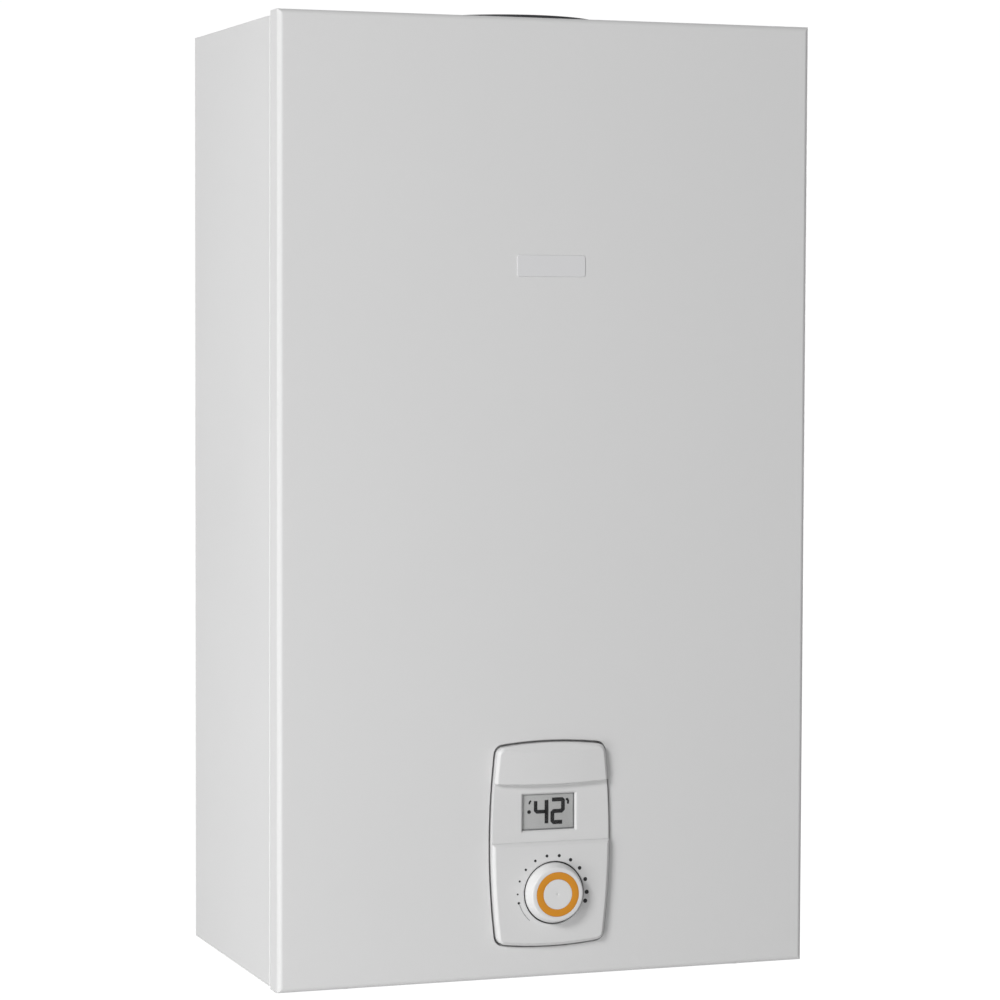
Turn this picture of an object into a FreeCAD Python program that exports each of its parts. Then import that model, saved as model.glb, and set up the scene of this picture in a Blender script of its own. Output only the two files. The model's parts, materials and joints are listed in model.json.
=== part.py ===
import FreeCAD, Part
import math
import os
from types import SimpleNamespace

import Sketcher

# A wall-hung instantaneous gas water heater with an open flue, battery ignition and a turning knob.
# x runs to the right, y into the wall and z up, in millimetres. The wall is the plane y = 0.
# Heights in this file count from the casing's lower edge. Every piece is then placed so that the
# origin lies on the wall, midway between the two screws that the heater hangs on.

Vector = FreeCAD.Vector
TOUCH = 0.001
# Pipes and small fixed round pieces inside the casing have this many flat sides.
ROUND_SIDES = 12
# A pipe's bend turns by no more than this at each of its mitres.
MITRE = math.radians(31)

SIZES = {
    # Casing
    "casing_width": 322,
    "casing_height": 550,
    "casing_depth": 184,
    "sheet": 1,
    "tray_depth": 16,
    "edge_radius": 3,
    "slip_gap": 0.3,
    "seam_gap": 0.8,
    "top_step": 2.6,
    "lip_setback": 4,
    "side_flange": 12,
    "back_flange": 14,
    # Wall fixing
    "hang_height": 505,
    "hang_half_spacing": 75,
    "keyhole_slot_radius": 3.2,
    "keyhole_head_radius": 6.5,
    "keyhole_drop": 13,
    "wall_hole_radius": 3.5,
    "wall_hole_height": 24,
    # Screws
    "screw_radius": 2,
    "screw_head_radius": 3.8,
    "screw_head": 2.4,
    "screw_length": 7,
    "screw_clearance": 0.3,
    "panel_screw_side": 41,
    "panel_screw_inset": 9,
    "casing_screw_front": 140,
    "casing_screw_back": 40,
    # Control panel
    "panel_across": 1.2,
    "panel_top": 136.2,
    "panel_bottom": 18.7,
    "panel_arch": 2.3,
    "panel_top_half": 32.6,
    "panel_bottom_half": 32.1,
    "panel_waist_half": 35.9,
    "panel_waist_height": 72,
    "panel_corner": 5,
    "panel_gap": 1.2,
    "panel_wall": 2,
    "band_stand": 1.8,
    "fascia_stand": 4.2,
    "fascia_top": 78.7,
    "fascia_slope": 1.6,
    "cap_bottom": 112.4,
    "cap_dip": 1.5,
    "cap_bulge_radius": 620,
    "cap_crown": 1.2,
    "cap_slope": 2.4,
    "cap_facet_height": 5.6,
    "cap_facet_drop": 2.2,
    "window_left": 15.8,
    "window_right": 16.2,
    "window_low": 85.5,
    "window_high": 106.3,
    "window_fit": 0.2,
    "window_recess": 1.4,
    "window_slope": 0.9,
    "window_thickness": 1,
    "housing_half": 41,
    "housing_low": 12,
    "housing_high": 142,
    "housing_wall": 2,
    "housing_back": 32,
    "vent_count": 5,
    "vent_width": 3,
    "vent_pitch": 9,
    "vent_length": 14,
    "vent_low": 52,
    "flange_setback": 4,
    "flange_thickness": 2,
    # Knob
    "knob_across": 2.5,
    "knob_height": 49.4,
    "knob_radius": 17.6,
    "knob_face_radius": 15.4,
    "knob_stand": 6.6,
    "knob_shoulder": 6.4,
    "knob_recess": 1.6,
    "knob_recess_gap": 0.7,
    "knob_float": 0.4,
    "knob_bore_depth": 5,
    "ring_outer": 12.9,
    "ring_inner": 8.7,
    "ring_depth": 0.8,
    "ring_sink": 0.1,
    "spindle_radius": 3,
    "running_fit": 0.05,
    "bushing_radius": 4.4,
    "potentiometer_half": 8.5,
    "potentiometer_depth": 7,
    # Board behind the panel
    "board_setback": 13,
    "board_thickness": 1.6,
    "board_half": 34,
    "board_low": 22,
    "board_high": 128,
    "display_border": 3,
    "bracket_half": 30,
    "bracket_height": 124,
    "bracket_foot": 16,
    # Badge
    "badge_width": 41.6,
    "badge_height": 12.4,
    "badge_low": 403,
    "badge_thickness": 0.8,
    "badge_across": 0.7,
    # Flue
    "flue_radius": 55,
    "flue_setback": 80,
    "collar_wall": 1,
    "collar_top": 554.5,
    "flue_clearance": 5,
    # Hood over the heat exchanger
    "hood_overhang": 3,
    "hood_top_margin": 7,
    "hood_straight": 28,
    "hood_top": 534,
    "relief_half": 80,
    "relief_low": 9,
    "relief_height": 13,
    # Air slots in the floor
    "slot_count": 15,
    "slot_pitch": 12.5,
    "slot_width": 5,
    "slot_length": 40,
    "slot_first": 56,
    "slot_front": 126,
    # Heat exchanger and the copper jacket under it
    "shell_side_room": 46,
    "shell_half_depth": 56,
    "shell_headroom": 26,
    "tube_radius": 8,
    "tube_height": 374,
    "tube_pitch": 30,
    "tube_overhang": 7,
    "tube_clearance": 0.3,
    "fin_count": 12,
    "fin_end_room": 18.2,
    "fin_thickness": 0.8,
    "fin_half": 22,
    "fin_side_gap": 0.2,
    "pipe_radius": 6.5,
    "coil_gap": 2.5,
    "coil_start": 205,
    "coil_lift": 34,
    "coil_rise": 9,
    "coil_bend": 16,
    "riser_offset": 20,
    # Brackets that carry the jacket and the burner from the back panel
    "bracket_across": 88,
    "bracket_web": 1.5,
    "bracket_tall": 16,
    "bracket_flange": 12,
    "upper_bracket_drop": 20,
    "lower_bracket_rise": 30,
    # Burner
    "burner_low": 166,
    "burner_high": 228,
    "blade_count": 11,
    "blade_end_room": 30,
    "blade_thickness": 6,
    "blade_front_gap": 3,
    "blade_back_gap": 6,
    "blade_high": 223,
    "blade_shoulder": 190,
    "blade_setback": 4,
    "blade_heel": 8,
    "bar_width": 10,
    "bar_thickness": 2,
    "window_margin": 1.5,
    "manifold_end_gap": 7,
    "manifold_depth": 13,
    "manifold_height": 14,
    "manifold_low": 174,
    "manifold_standoff": 5,
    "manifold_foot": 12,
    "injector_radius": 3,
    "injector_length": 4.4,
    # Ignition and flame sensing
    "electrode_spacing": 60,
    "electrode_rise": 12,
    "insulator_radius": 3,
    "insulator_outside": 13,
    "insulator_inside": 6,
    "electrode_radius": 0.8,
    "electrode_reach": 16,
    "electrode_tail": 4,
    "electrode_plate_half": 42,
    "electrode_plate_height": 14,
    # Connections under the heater
    "pipe_setback": 50,
    "water_spacing": 70,
    "thread_radius": 10.48,
    "thread_length": 16,
    "stub_drop": 19,
    "nut_radius": 14,
    "nut_height": 9,
    "nut_below": 3,
    "fitting_neck": 8.5,
    "fitting_flange_half": 18,
    "fitting_flange": 2.5,
    "union_radius": 12.5,
    "pipe_hole_radius": 15.5,
    "gas_fitting_top": 44,
    "cold_fitting_top": 42,
    "hot_fitting_top": 62,
    # Gas valve
    "valve_half": 28,
    "valve_front": 96,
    "valve_back": 38,
    "valve_high": 106,
    "valve_outlet_setback": 74,
    "valve_cover": 4,
    "valve_cover_lap": 2.5,
    "valve_edge": 5,
    "regulator_radius": 15,
    "regulator_reach": 7,
    "regulator_cap_radius": 8,
    "regulator_cap": 4,
    "nipple_radius": 3.5,
    "nipple_height": 8,
    "nipple_inset": 9,
    "outlet_boss_radius": 11,
    "outlet_boss": 7,
    "gas_pipe_radius": 6,
    "gas_pipe_drop": 18,
    "gas_bend": 11,
    "coil_radius": 12.5,
    "coil_spacing": 28,
    "coil_height": 76,
    "coil_cap": 3,
    "yoke_half": 12,
    "yoke_nut_radius": 5,
    "plunger_radius": 4,
    "plunger_length": 26,
    "plunger_travel": 3,
    "end_gap": 0.5,
    # Water unit
    "water_body_high": 92,
    "water_foot_half": 17,
    "water_foot_reach": 26,
    "water_foot_high": 56,
    "diaphragm_radius": 24,
    "diaphragm_waist": 21.5,
    "diaphragm_rim": 4,
    "diaphragm_gap": 3,
    "water_neck_radius": 18,
    "sensor_radius": 15,
    "sensor_height": 36,
    "sensor_wall": 3.5,
    "rotor_radius": 10.8,
    "rotor_hub": 3.4,
    "rotor_height": 20,
    "rotor_blade": 1.6,
    "rotor_shaft": 1.2,
    "rotor_shaft_length": 31,
    "drain_across": 19,
    "drain_radius": 6,
    "drain_length": 8,
    "cold_turn_height": 148,
    "cold_turn_rise": 12,
    "hot_turn_height": 112,
    "hot_turn_setback": 62,
    "hot_entry_height": 84,
    # Electrics
    "ignition_width": 50,
    "ignition_height": 66,
    "ignition_depth": 33,
    "ignition_side_gap": 8,
    "ignition_low": 128,
    "ignition_lid": 2,
    "ignition_lid_inset": 3,
    "ignition_ear": 8,
    "ignition_ear_half": 9,
    "ignition_ear_thickness": 1.5,
    "battery_radius": 16.6,
    "battery_length": 60,
    "battery_nub": 1.5,
    "battery_nub_radius": 4.6,
    "battery_room": 0.6,
    "battery_clearance": 0.7,
    "battery_setback": 128,
    "battery_wall": 1.5,
    "battery_flange": 4,
    "battery_rib": 1.5,
    "battery_rib_count": 4,
    "lid_thickness": 2,
    "lid_gap": 0.2,
    "lid_border": 2,
    "hinge_radius": 2.2,
    "hinge_pin_radius": 1.2,
    "hinge_lug_width": 4,
    "hinge_lug_size": 4.4,
    "thermostat_radius": 8,
    "thermostat_height": 6,
    "thermostat_across": 56,
    "overheat_rise": 41,
    "spill_rise": 52,
    "terminal_width": 6,
    "terminal_thickness": 1.6,
    "terminal_length": 7,
    "probe_boss_radius": 5,
    "probe_boss": 12,
    "probe_radius": 3,
    "probe_length": 16,
    "probe_height": 32,
    "lead_radius": 1.6,
    "lead_bend": 9,
    "lead_straight": 12,
    "spark_lead_inset": 26,
    "spark_lead_up": 57,
    "flame_lead_inset": 34,
    "flame_lead_up": 47,
    "electrode_lead_rise": 21,
    "harness_inset": 22,
    "harness_up": 22,
    "harness_rise": 15,
}


class Size:
    """A length or a place: its value, and the sheet formula that gives it."""

    def __init__(self, value, formula):
        self.value = value
        self.formula = formula

    @staticmethod
    def of(thing):
        if isinstance(thing, Size):
            return thing
        return Size(thing, repr(float(thing)))

    def joined(self, sign, other, value):
        return Size(value, f"({self.formula} {sign} {Size.of(other).formula})")

    def __add__(self, other):
        return self.joined("+", other, self.value + Size.of(other).value)

    def __sub__(self, other):
        return self.joined("-", other, self.value - Size.of(other).value)

    def __mul__(self, other):
        return self.joined("*", other, self.value * Size.of(other).value)

    def __truediv__(self, other):
        return self.joined("/", other, self.value / Size.of(other).value)

    def __neg__(self):
        return Size(-self.value, f"(0 - {self.formula})")

    def __radd__(self, other):
        return Size.of(other) + self

    def __rsub__(self, other):
        return Size.of(other) - self

    def __rmul__(self, other):
        return Size.of(other) * self


doc = FreeCAD.newDocument("WaterHeater")
sheet = doc.addObject("Spreadsheet::Sheet", "Sizes")
S = SimpleNamespace()
for row, (alias, amount) in enumerate(SIZES.items(), 1):
    sheet.set(f"A{row}", alias)
    sheet.set(f"B{row}", str(amount))
    sheet.setAlias(f"B{row}", alias)
    setattr(S, alias, Size(amount, f"Sizes.{alias}"))
doc.recompute()

pieces = {}


def piece(name, *solids):
    """Names a finished piece and places it. Several solids become one group."""
    whole = solids[0]
    if len(solids) > 1 or whole.TypeId in ("Part::Box", "Part::Cylinder", "Part::Prism"):
        whole = doc.addObject("Part::Compound", "Group")
        whole.Links = list(solids)
    whole.Label = name
    if whole.TypeId != "Part::Mirroring":
        bind(whole, "Placement.Base.z", -S.hang_height)
    pieces[name] = whole
    return whole


def bind(thing, path, amount):
    """Ties a property of an object to the sheet."""
    thing.setExpression(path, Size.of(amount).formula)


# Solids from primitives

ROTATIONS = {
    "x": FreeCAD.Rotation(Vector(0, 1, 0), 90),
    "y": FreeCAD.Rotation(Vector(1, 0, 0), -90),
    "z": FreeCAD.Rotation(),
}


def block(x, y, z):
    """A box between two places along each axis."""
    box = doc.addObject("Part::Box", "Block")
    for side, along, (low, high) in (("Length", "x", x), ("Width", "y", y), ("Height", "z", z)):
        bind(box, side, Size.of(high) - low)
        bind(box, f"Placement.Base.{along}", low)
    return box


def along_axis(solid, axis, low, high, centre):
    """Lays a round or six-sided solid along an axis, between two places on it."""
    across = [name for name in "xyz" if name != axis]
    solid.Placement = FreeCAD.Placement(Vector(), ROTATIONS[axis])
    bind(solid, "Height", Size.of(high) - low)
    bind(solid, f"Placement.Base.{axis}", low)
    for name, place in zip(across, centre):
        bind(solid, f"Placement.Base.{name}", place)
    return solid


def rod(axis, radius, low, high, centre):
    """A round rod along an axis. The centre gives its place across the axis."""
    solid = doc.addObject("Part::Cylinder", "Rod")
    bind(solid, "Radius", radius)
    return along_axis(solid, axis, low, high, centre)


def bar(axis, radius, low, high, centre, sides=ROUND_SIDES):
    """A bar with flat sides along an axis, with its radius over the corners."""
    solid = doc.addObject("Part::Prism", "Bar")
    solid.Polygon = sides
    bind(solid, "Circumradius", radius)
    return along_axis(solid, axis, low, high, centre)


def hexagon(axis, radius, low, high, centre):
    """A six-sided bar along an axis, with its radius over the corners."""
    return bar(axis, radius, low, high, centre, 6)


def fuse(*solids):
    """Joins solids that touch or overlap into one."""
    joined = doc.addObject("Part::MultiFuse", "Joined")
    joined.Shapes = list(solids)
    joined.Refine = True
    return joined


def cut(base, *tools):
    """Takes one or more solids away from another."""
    result = doc.addObject("Part::Cut", "Cut")
    result.Base = base
    result.Tool = tools[0] if len(tools) == 1 else fuse(*tools)
    return result


def mirrored(source):
    """The mirror image of a placed piece on the other side of the heater's middle plane."""
    twin = doc.addObject("Part::Mirroring", "Mirrored")
    twin.Source = source
    twin.Normal = Vector(1, 0, 0)
    return twin


def screw(axis, head_side, seat, centre):
    """A hexagon-headed screw seated at a place on its axis. Its head is on the low or the high side."""
    if head_side == "low":
        head = hexagon(axis, S.screw_head_radius, seat - S.screw_head, seat, centre)
        shank = hexagon(axis, S.screw_radius, seat - S.screw_head / 2, seat + S.screw_length, centre)
    else:
        head = hexagon(axis, S.screw_head_radius, seat, seat + S.screw_head, centre)
        shank = hexagon(axis, S.screw_radius, seat - S.screw_length, seat + S.screw_head / 2, centre)
    return fuse(head, shank)


def pipe(radius, bend, *points, sides=ROUND_SIDES):
    """A pipe through the points. Each corner is turned round its bend in a few short mitred runs."""
    route = [Vector(*(Size.of(place).value for place in point)) for point in points]
    radius, bend = radius.value, bend.value
    line = [route[0]]
    for before, corner, after in zip(route, route[1:], route[2:]):
        way_in = (corner - before).normalize()
        way_out = (after - corner).normalize()
        turn = way_in.getAngle(way_out)
        mitres = math.ceil(turn / MITRE)
        share = turn / mitres
        side = way_in.cross(way_out)
        here = corner - way_in * bend * (math.tan(turn / 2) - math.tan(share / 2))
        line.append(here)
        for number in range(1, mitres):
            way = FreeCAD.Rotation(side, math.degrees(number * share)).multVec(way_in)
            here = here + way * 2 * bend * math.tan(share / 2)
            line.append(here)
    line.append(route[-1])
    start = (line[1] - line[0]).normalize()
    across = start.cross(Vector(0, 0, 1) if abs(start.z) < 0.9 else Vector(1, 0, 0)).normalize()
    ring = [line[0] + FreeCAD.Rotation(start, 360 * number / sides).multVec(across) * radius
            for number in range(sides)]
    section = Part.makePolygon(ring + ring[:1])
    solid = Part.makePolygon(line).makePipeShell([section], True, True, 1)
    area = sides / 2 * radius**2 * math.sin(2 * math.pi / sides)
    length = sum((b - a).Length for a, b in zip(line, line[1:]))
    if abs(solid.Volume - area * length) > 0.002 * area * length:
        raise ValueError(f"a pipe's volume is {solid.Volume:.1f} and not {area * length:.1f}")
    feature = doc.addObject("Part::Feature", "Pipe")
    feature.Shape = solid
    return feature


# Solids from sketches


def flat(point):
    """A sketch point's place as a vector."""
    return Vector(Size.of(point[0]).value, Size.of(point[1]).value, 0)


def sketch_on(body, plane, level):
    """A sketch on one of the body's own planes, moved along the plane's normal to a level."""
    sketch = body.newObject("Sketcher::SketchObject", "Outline")
    support = [feature for feature in body.Origin.OriginFeatures if feature.Role == plane]
    sketch.AttachmentSupport = [(support[0], "")]
    sketch.MapMode = "FlatFace"
    bind(sketch, "AttachmentOffset.Base.z", level)
    return sketch


def hold(sketch, constraint, amount):
    """Adds a dimension to a sketch and ties it to the sheet."""
    number = sketch.addConstraint(constraint)
    sketch.setExpression(f"Constraints[{number}]", Size.of(amount).formula)


def hold_point(sketch, edge, end, point):
    """Holds an edge's end, or a circle's centre, at its place."""
    for kind, amount in zip(("DistanceX", "DistanceY"), point):
        hold(sketch, Sketcher.Constraint(kind, -1, 1, edge, end, Size.of(amount).value), amount)


def outline(sketch, corners, arcs=None):
    """Draws a closed outline. arcs gives, by an edge's number, a point that the edge bows through."""
    arcs = arcs or {}
    starts = []
    ends = []
    for number, corner in enumerate(corners):
        here = flat(corner)
        there = flat(corners[(number + 1) % len(corners)])
        curve = Part.LineSegment(here, there)
        if number in arcs:
            curve = Part.Arc(here, flat(arcs[number]), there)
        edge = sketch.addGeometry(curve, False)
        forwards = sketch.getPoint(edge, 1).distanceToPoint(here) < TOUCH
        starts.append((edge, 1 if forwards else 2))
        ends.append((edge, 2 if forwards else 1))
    for number, corner in enumerate(corners):
        sketch.addConstraint(Sketcher.Constraint("Coincident", *ends[number - 1], *starts[number]))
        hold_point(sketch, *starts[number], corner)
    for number, point in arcs.items():
        mark = sketch.addGeometry(Part.Point(flat(point)), True)
        hold_point(sketch, mark, 1, point)
        sketch.addConstraint(Sketcher.Constraint("PointOnObject", mark, 1, starts[number][0]))
    return sketch


def rectangle(sketch, across, up):
    """Draws a rectangle between two places across and two places up."""
    (left, right), (low, high) = across, up
    return outline(sketch, [(left, low), (right, low), (right, high), (left, high)])


def many_sided(sketch, centre, radius, sides):
    """Draws a figure with equal sides, with its radius over the corners."""
    corners = []
    for number in range(sides):
        angle = 2 * math.pi * number / sides
        corners.append((centre[0] + radius * math.cos(angle), centre[1] + radius * math.sin(angle)))
    return outline(sketch, corners)


def screw_hole(sketch, centre):
    """Draws a small six-sided screw hole, which the screw's head covers."""
    return many_sided(sketch, centre, hole_radius, 6)


def circle(sketch, centre, radius):
    """Draws a circle."""
    curve = Part.Circle(flat(centre), Vector(0, 0, 1), Size.of(radius).value)
    edge = sketch.addGeometry(curve, False)
    hold_point(sketch, edge, 3, centre)
    hold(sketch, Sketcher.Constraint("Radius", edge, Size.of(radius).value), radius)
    return sketch


def new_body(name):
    return doc.addObject("PartDesign::Body", name)


def pad(body, sketch, length, backwards=False):
    """Grows a sketch into the body, along the sketch's normal unless backwards."""
    feature = body.newObject("PartDesign::Pad", "Pad")
    feature.Profile = sketch
    feature.Reversed = backwards
    bind(feature, "Length", length)
    return feature


def pocket(body, sketch, length, backwards=False):
    """Cuts a sketch out of the body, against the sketch's normal unless backwards."""
    doc.recompute()
    before = body.Tip.Shape.Volume
    feature = body.newObject("PartDesign::Pocket", "Pocket")
    feature.Profile = sketch
    feature.Reversed = backwards
    bind(feature, "Length", length)
    doc.recompute()
    if feature.Shape.Volume > before - TOUCH:
        raise ValueError(f"a pocket in {body.Name} cuts nothing")
    return feature


def revolve(body, sketch):
    """Turns a sketch round its own upright axis."""
    feature = body.newObject("PartDesign::Revolution", "Revolution")
    feature.Profile = sketch
    feature.ReferenceAxis = (sketch, ["V_Axis"])
    feature.Angle = 360
    return feature


def row_of(body, feature, sketch, axis, count, pitch):
    """Repeats a feature in a row along one of its sketch's axes."""
    row = body.newObject("PartDesign::LinearPattern", "Row")
    row.Originals = [feature]
    row.Direction = (sketch, [axis])
    bind(row, "Length", (count - 1) * pitch)
    bind(row, "Occurrences", count)
    body.Tip = row
    return row


def round_off(body, radius, chosen, kind="PartDesign::Fillet", amount="Radius"):
    """Rounds or chamfers the edges that the test chosen picks on the body's present shape."""
    doc.recompute()
    base = body.Tip
    names = [f"Edge{number}" for number, edge in enumerate(base.Shape.Edges, 1) if chosen(edge)]
    feature = body.newObject(kind, "Rounding")
    feature.Base = (base, names)
    bind(feature, amount, radius)
    return feature


def on_level(edge, axis, level):
    """Whether an edge lies wholly at one place along an axis."""
    box = edge.BoundBox
    low, high = getattr(box, f"{axis.upper()}Min"), getattr(box, f"{axis.upper()}Max")
    return abs(low - level.value) < TOUCH and abs(high - level.value) < TOUCH


def runs_along(edge, axis):
    """Whether an edge is straight and runs along an axis."""
    box = edge.BoundBox
    lengths = {"x": box.XLength, "y": box.YLength, "z": box.ZLength}
    along = lengths.pop(axis)
    return along > TOUCH and max(lengths.values()) < TOUCH


# Places that several pieces share

half_width = S.casing_width / 2
front = -S.casing_depth
front_inside = front + S.sheet
tray_back = front + S.tray_depth
wall_inside = half_width - S.sheet
lip_outside = wall_inside - S.slip_gap
lip_inside = lip_outside - S.sheet
lip_front = front + S.lip_setback
joggle_front = tray_back + S.seam_gap
joggle_back = joggle_front + (half_width - lip_outside)
box_bottom = S.sheet + S.slip_gap
box_top = S.casing_height - S.top_step
floor_top = box_bottom + S.sheet
roof_low = box_top - S.sheet
back_face = -S.sheet
panel_screw_y = tray_back - S.panel_screw_inset
panel_screw_x = half_width - S.panel_screw_side
fascia_front = front - S.fascia_stand
band_front = front - S.band_stand
panel_flange_front = front + S.flange_setback
housing_front = panel_flange_front + S.flange_thickness
housing_back = front + S.housing_back
board_front = front + S.board_setback
flue_y = front + S.flue_setback
shell_front = flue_y - S.shell_half_depth
shell_back = flue_y + S.shell_half_depth
pipe_y = -S.pipe_setback
hole_radius = S.screw_radius + S.screw_clearance
casing_screw_places = [(sign * (wall_inside - S.side_flange / 2), -y)
               for sign in (-1, 1) for y in (S.casing_screw_front, S.casing_screw_back)]


def casing_plate(name, low):
    """The roof or the floor of the casing: a plate that narrows at the front to clear the side lips."""
    body = new_body(name)
    wide = lip_outside
    narrow = lip_inside - S.slip_gap
    sketch = sketch_on(body, "XY_Plane", low)
    outline(sketch, [
        (-wide, 0), (-wide, joggle_back), (-narrow, joggle_back), (-narrow, lip_front),
        (narrow, lip_front), (narrow, joggle_back), (wide, joggle_back), (wide, 0),
    ])
    for place in casing_screw_places:
        screw_hole(sketch, place)
    return body, sketch


def side_panel():
    """The left side: a plate with a joggled front lip and a flange at its top and at its foot."""
    body = new_body("SidePanel")
    profile = sketch_on(body, "XY_Plane", box_bottom)
    outline(profile, [
        (-half_width, 0), (-half_width, joggle_back), (-lip_outside, joggle_front),
        (-lip_outside, lip_front), (-lip_inside, lip_front), (-lip_inside, joggle_front),
        (-wall_inside, joggle_back), (-wall_inside, 0),
    ])
    pad(body, profile, box_top - box_bottom)
    for low in (floor_top, roof_low - S.sheet):
        flange = sketch_on(body, "XY_Plane", low)
        rectangle(flange, (-half_width, -wall_inside + S.side_flange),
                  (joggle_back, -S.back_flange - S.slip_gap))
        for place in casing_screw_places[:2]:
            screw_hole(flange, place)
        pad(body, flange, S.sheet)
    return body


def back_panel():
    """The back: a shallow channel against the wall with two keyholes and two round holes."""
    body = new_body("BackPanel")
    profile = sketch_on(body, "XY_Plane", floor_top)
    inside = wall_inside - S.sheet
    outline(profile, [
        (-wall_inside, 0), (-wall_inside, -S.back_flange), (-inside, -S.back_flange),
        (-inside, back_face), (inside, back_face), (inside, -S.back_flange),
        (wall_inside, -S.back_flange), (wall_inside, 0),
    ])
    pad(body, profile, roof_low - floor_top)
    for kind in ("heads", "slots", "slot ends", "lower holes"):
        holes = sketch_on(body, "XZ_Plane", 0)
        for sign in (-1, 1):
            x = sign * S.hang_half_spacing
            if kind == "heads":
                circle(holes, (x, S.hang_height - S.keyhole_drop), S.keyhole_head_radius)
            elif kind == "slots":
                rectangle(holes, (x - S.keyhole_slot_radius, x + S.keyhole_slot_radius),
                          (S.hang_height - S.keyhole_drop, S.hang_height))
            elif kind == "slot ends":
                circle(holes, (x, S.hang_height), S.keyhole_slot_radius)
            else:
                circle(holes, (x, S.wall_hole_height), S.wall_hole_radius)
        pocket(body, holes, 2 * S.sheet, backwards=True)
    return body


def front_panel():
    """The front: a pressed tray with rounded edges, cut out round the control panel."""
    body = new_body("FrontPanel")
    outside = sketch_on(body, "XZ_Plane", -tray_back)
    rectangle(outside, (-half_width, half_width), (0, S.casing_height))
    pad(body, outside, S.tray_depth)
    round_off(body, S.edge_radius, lambda edge: on_level(edge, "y", front))
    inside = sketch_on(body, "XZ_Plane", -tray_back)
    rectangle(inside, (-wall_inside, wall_inside), (S.sheet, S.casing_height - S.sheet))
    pocket(body, inside, S.tray_depth - S.sheet, backwards=True)
    round_off(body, S.edge_radius - S.sheet, lambda edge: on_level(edge, "y", front_inside))
    opening = sketch_on(body, "XZ_Plane", -front_inside)
    panel_outline(opening, S.panel_gap)
    pocket(body, opening, 2 * S.sheet, backwards=True)
    low_corner = S.panel_bottom.value - S.panel_gap.value
    high_corner = S.panel_top.value + S.panel_gap.value
    widest = S.panel_waist_half.value + S.panel_across.value + 2 * S.panel_gap.value

    def cutout_corner(edge):
        box = edge.BoundBox
        inside_cutout = abs(box.XMax) < widest and low_corner < box.ZMin and box.ZMax < high_corner
        return runs_along(edge, "y") and inside_cutout

    round_off(body, S.panel_corner + S.panel_gap, cutout_corner)
    holes = sketch_on(body, "XY_Plane", 0)
    for sign in (-1, 1):
        screw_hole(holes, (sign * panel_screw_x, panel_screw_y))
    pocket(body, holes, S.sheet, backwards=True)
    return body


def panel_outline(sketch, margin, inset=0):
    """The control panel's outline: arched at the top and bottom, bowed at the sides."""
    grow = margin - inset
    middle = S.panel_across
    top = S.panel_top + grow
    bottom = S.panel_bottom - grow
    high, low = top - S.panel_arch, bottom + S.panel_arch
    top_half = S.panel_top_half + grow
    bottom_half = S.panel_bottom_half + grow
    waist_half = S.panel_waist_half + grow
    corners = [(middle - top_half, high), (middle + top_half, high),
               (middle + bottom_half, low), (middle - bottom_half, low)]
    arcs = {0: (middle, top), 1: (middle + waist_half, S.panel_waist_height),
            2: (middle, bottom), 3: (middle - waist_half, S.panel_waist_height)}
    return outline(sketch, corners, arcs)


def casing():
    """The sheet-metal box, its front tray and the screws that hold them."""
    side = side_panel()
    piece("left_side_panel", side)
    piece("right_side_panel", mirrored(side))
    piece("back_panel", back_panel())
    roof, roof_sketch = casing_plate("TopPanel", roof_low)
    circle(roof_sketch, (0, flue_y), S.flue_radius + S.flue_clearance)
    pad(roof, roof_sketch, S.sheet)
    piece("top_panel", roof)
    piece("bottom_panel", bottom_panel())
    piece("front_panel", front_panel())
    seats = [(roof_low + S.sheet, "high"), (box_bottom, "low")]
    piece("casing_screws", *[screw("z", side_of_head, seat, place)
                             for seat, side_of_head in seats for place in casing_screw_places])
    piece("front_panel_screws", *[
        screw("z", "low", Size.of(0), (sign * panel_screw_x, panel_screw_y))
        for sign in (-1, 1)])
    badge = new_body("Badge")
    plate = sketch_on(badge, "XZ_Plane", -front)
    half = S.badge_width / 2
    rectangle(plate, (S.badge_across - half, S.badge_across + half),
              (S.badge_low, S.badge_low + S.badge_height))
    pad(badge, plate, S.badge_thickness)
    round_off(badge, S.badge_thickness / 2, lambda edge: on_level(edge, "y", front - S.badge_thickness))
    piece("front_badge", badge)


battery_half = 2 * S.battery_radius + S.battery_room
battery_half_depth = S.battery_radius + S.battery_room
battery_x = -(wall_inside - S.side_flange - S.battery_clearance - S.battery_flange
              - S.battery_wall - battery_half)
battery_y = -S.battery_setback


def bottom_panel():
    """The floor: holes for the pipes and the batteries, slots for air, notches for the front screws."""
    body, sketch = casing_plate("BottomPanel", box_bottom)
    for x in (-S.water_spacing, 0, S.water_spacing):
        circle(sketch, (x, pipe_y), S.pipe_hole_radius)
    rectangle(sketch, (battery_x - battery_half, battery_x + battery_half),
              (battery_y - battery_half_depth, battery_y + battery_half_depth))
    pad(body, sketch, S.sheet)
    notches = sketch_on(body, "XY_Plane", box_bottom)
    for sign in (-1, 1):
        x = sign * panel_screw_x
        rectangle(notches, (x - hole_radius, x + hole_radius),
                  (lip_front - S.sheet, panel_screw_y + 2 * hole_radius))
    pocket(body, notches, S.sheet, backwards=True)
    slot = sketch_on(body, "XY_Plane", box_bottom)
    rectangle(slot, (-S.slot_first, -S.slot_first + S.slot_width),
              (-S.slot_front, -S.slot_front + S.slot_length))
    row_of(body, pocket(body, slot, S.sheet, backwards=True), slot, "H_Axis", S.slot_count, S.slot_pitch)
    return body


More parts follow.
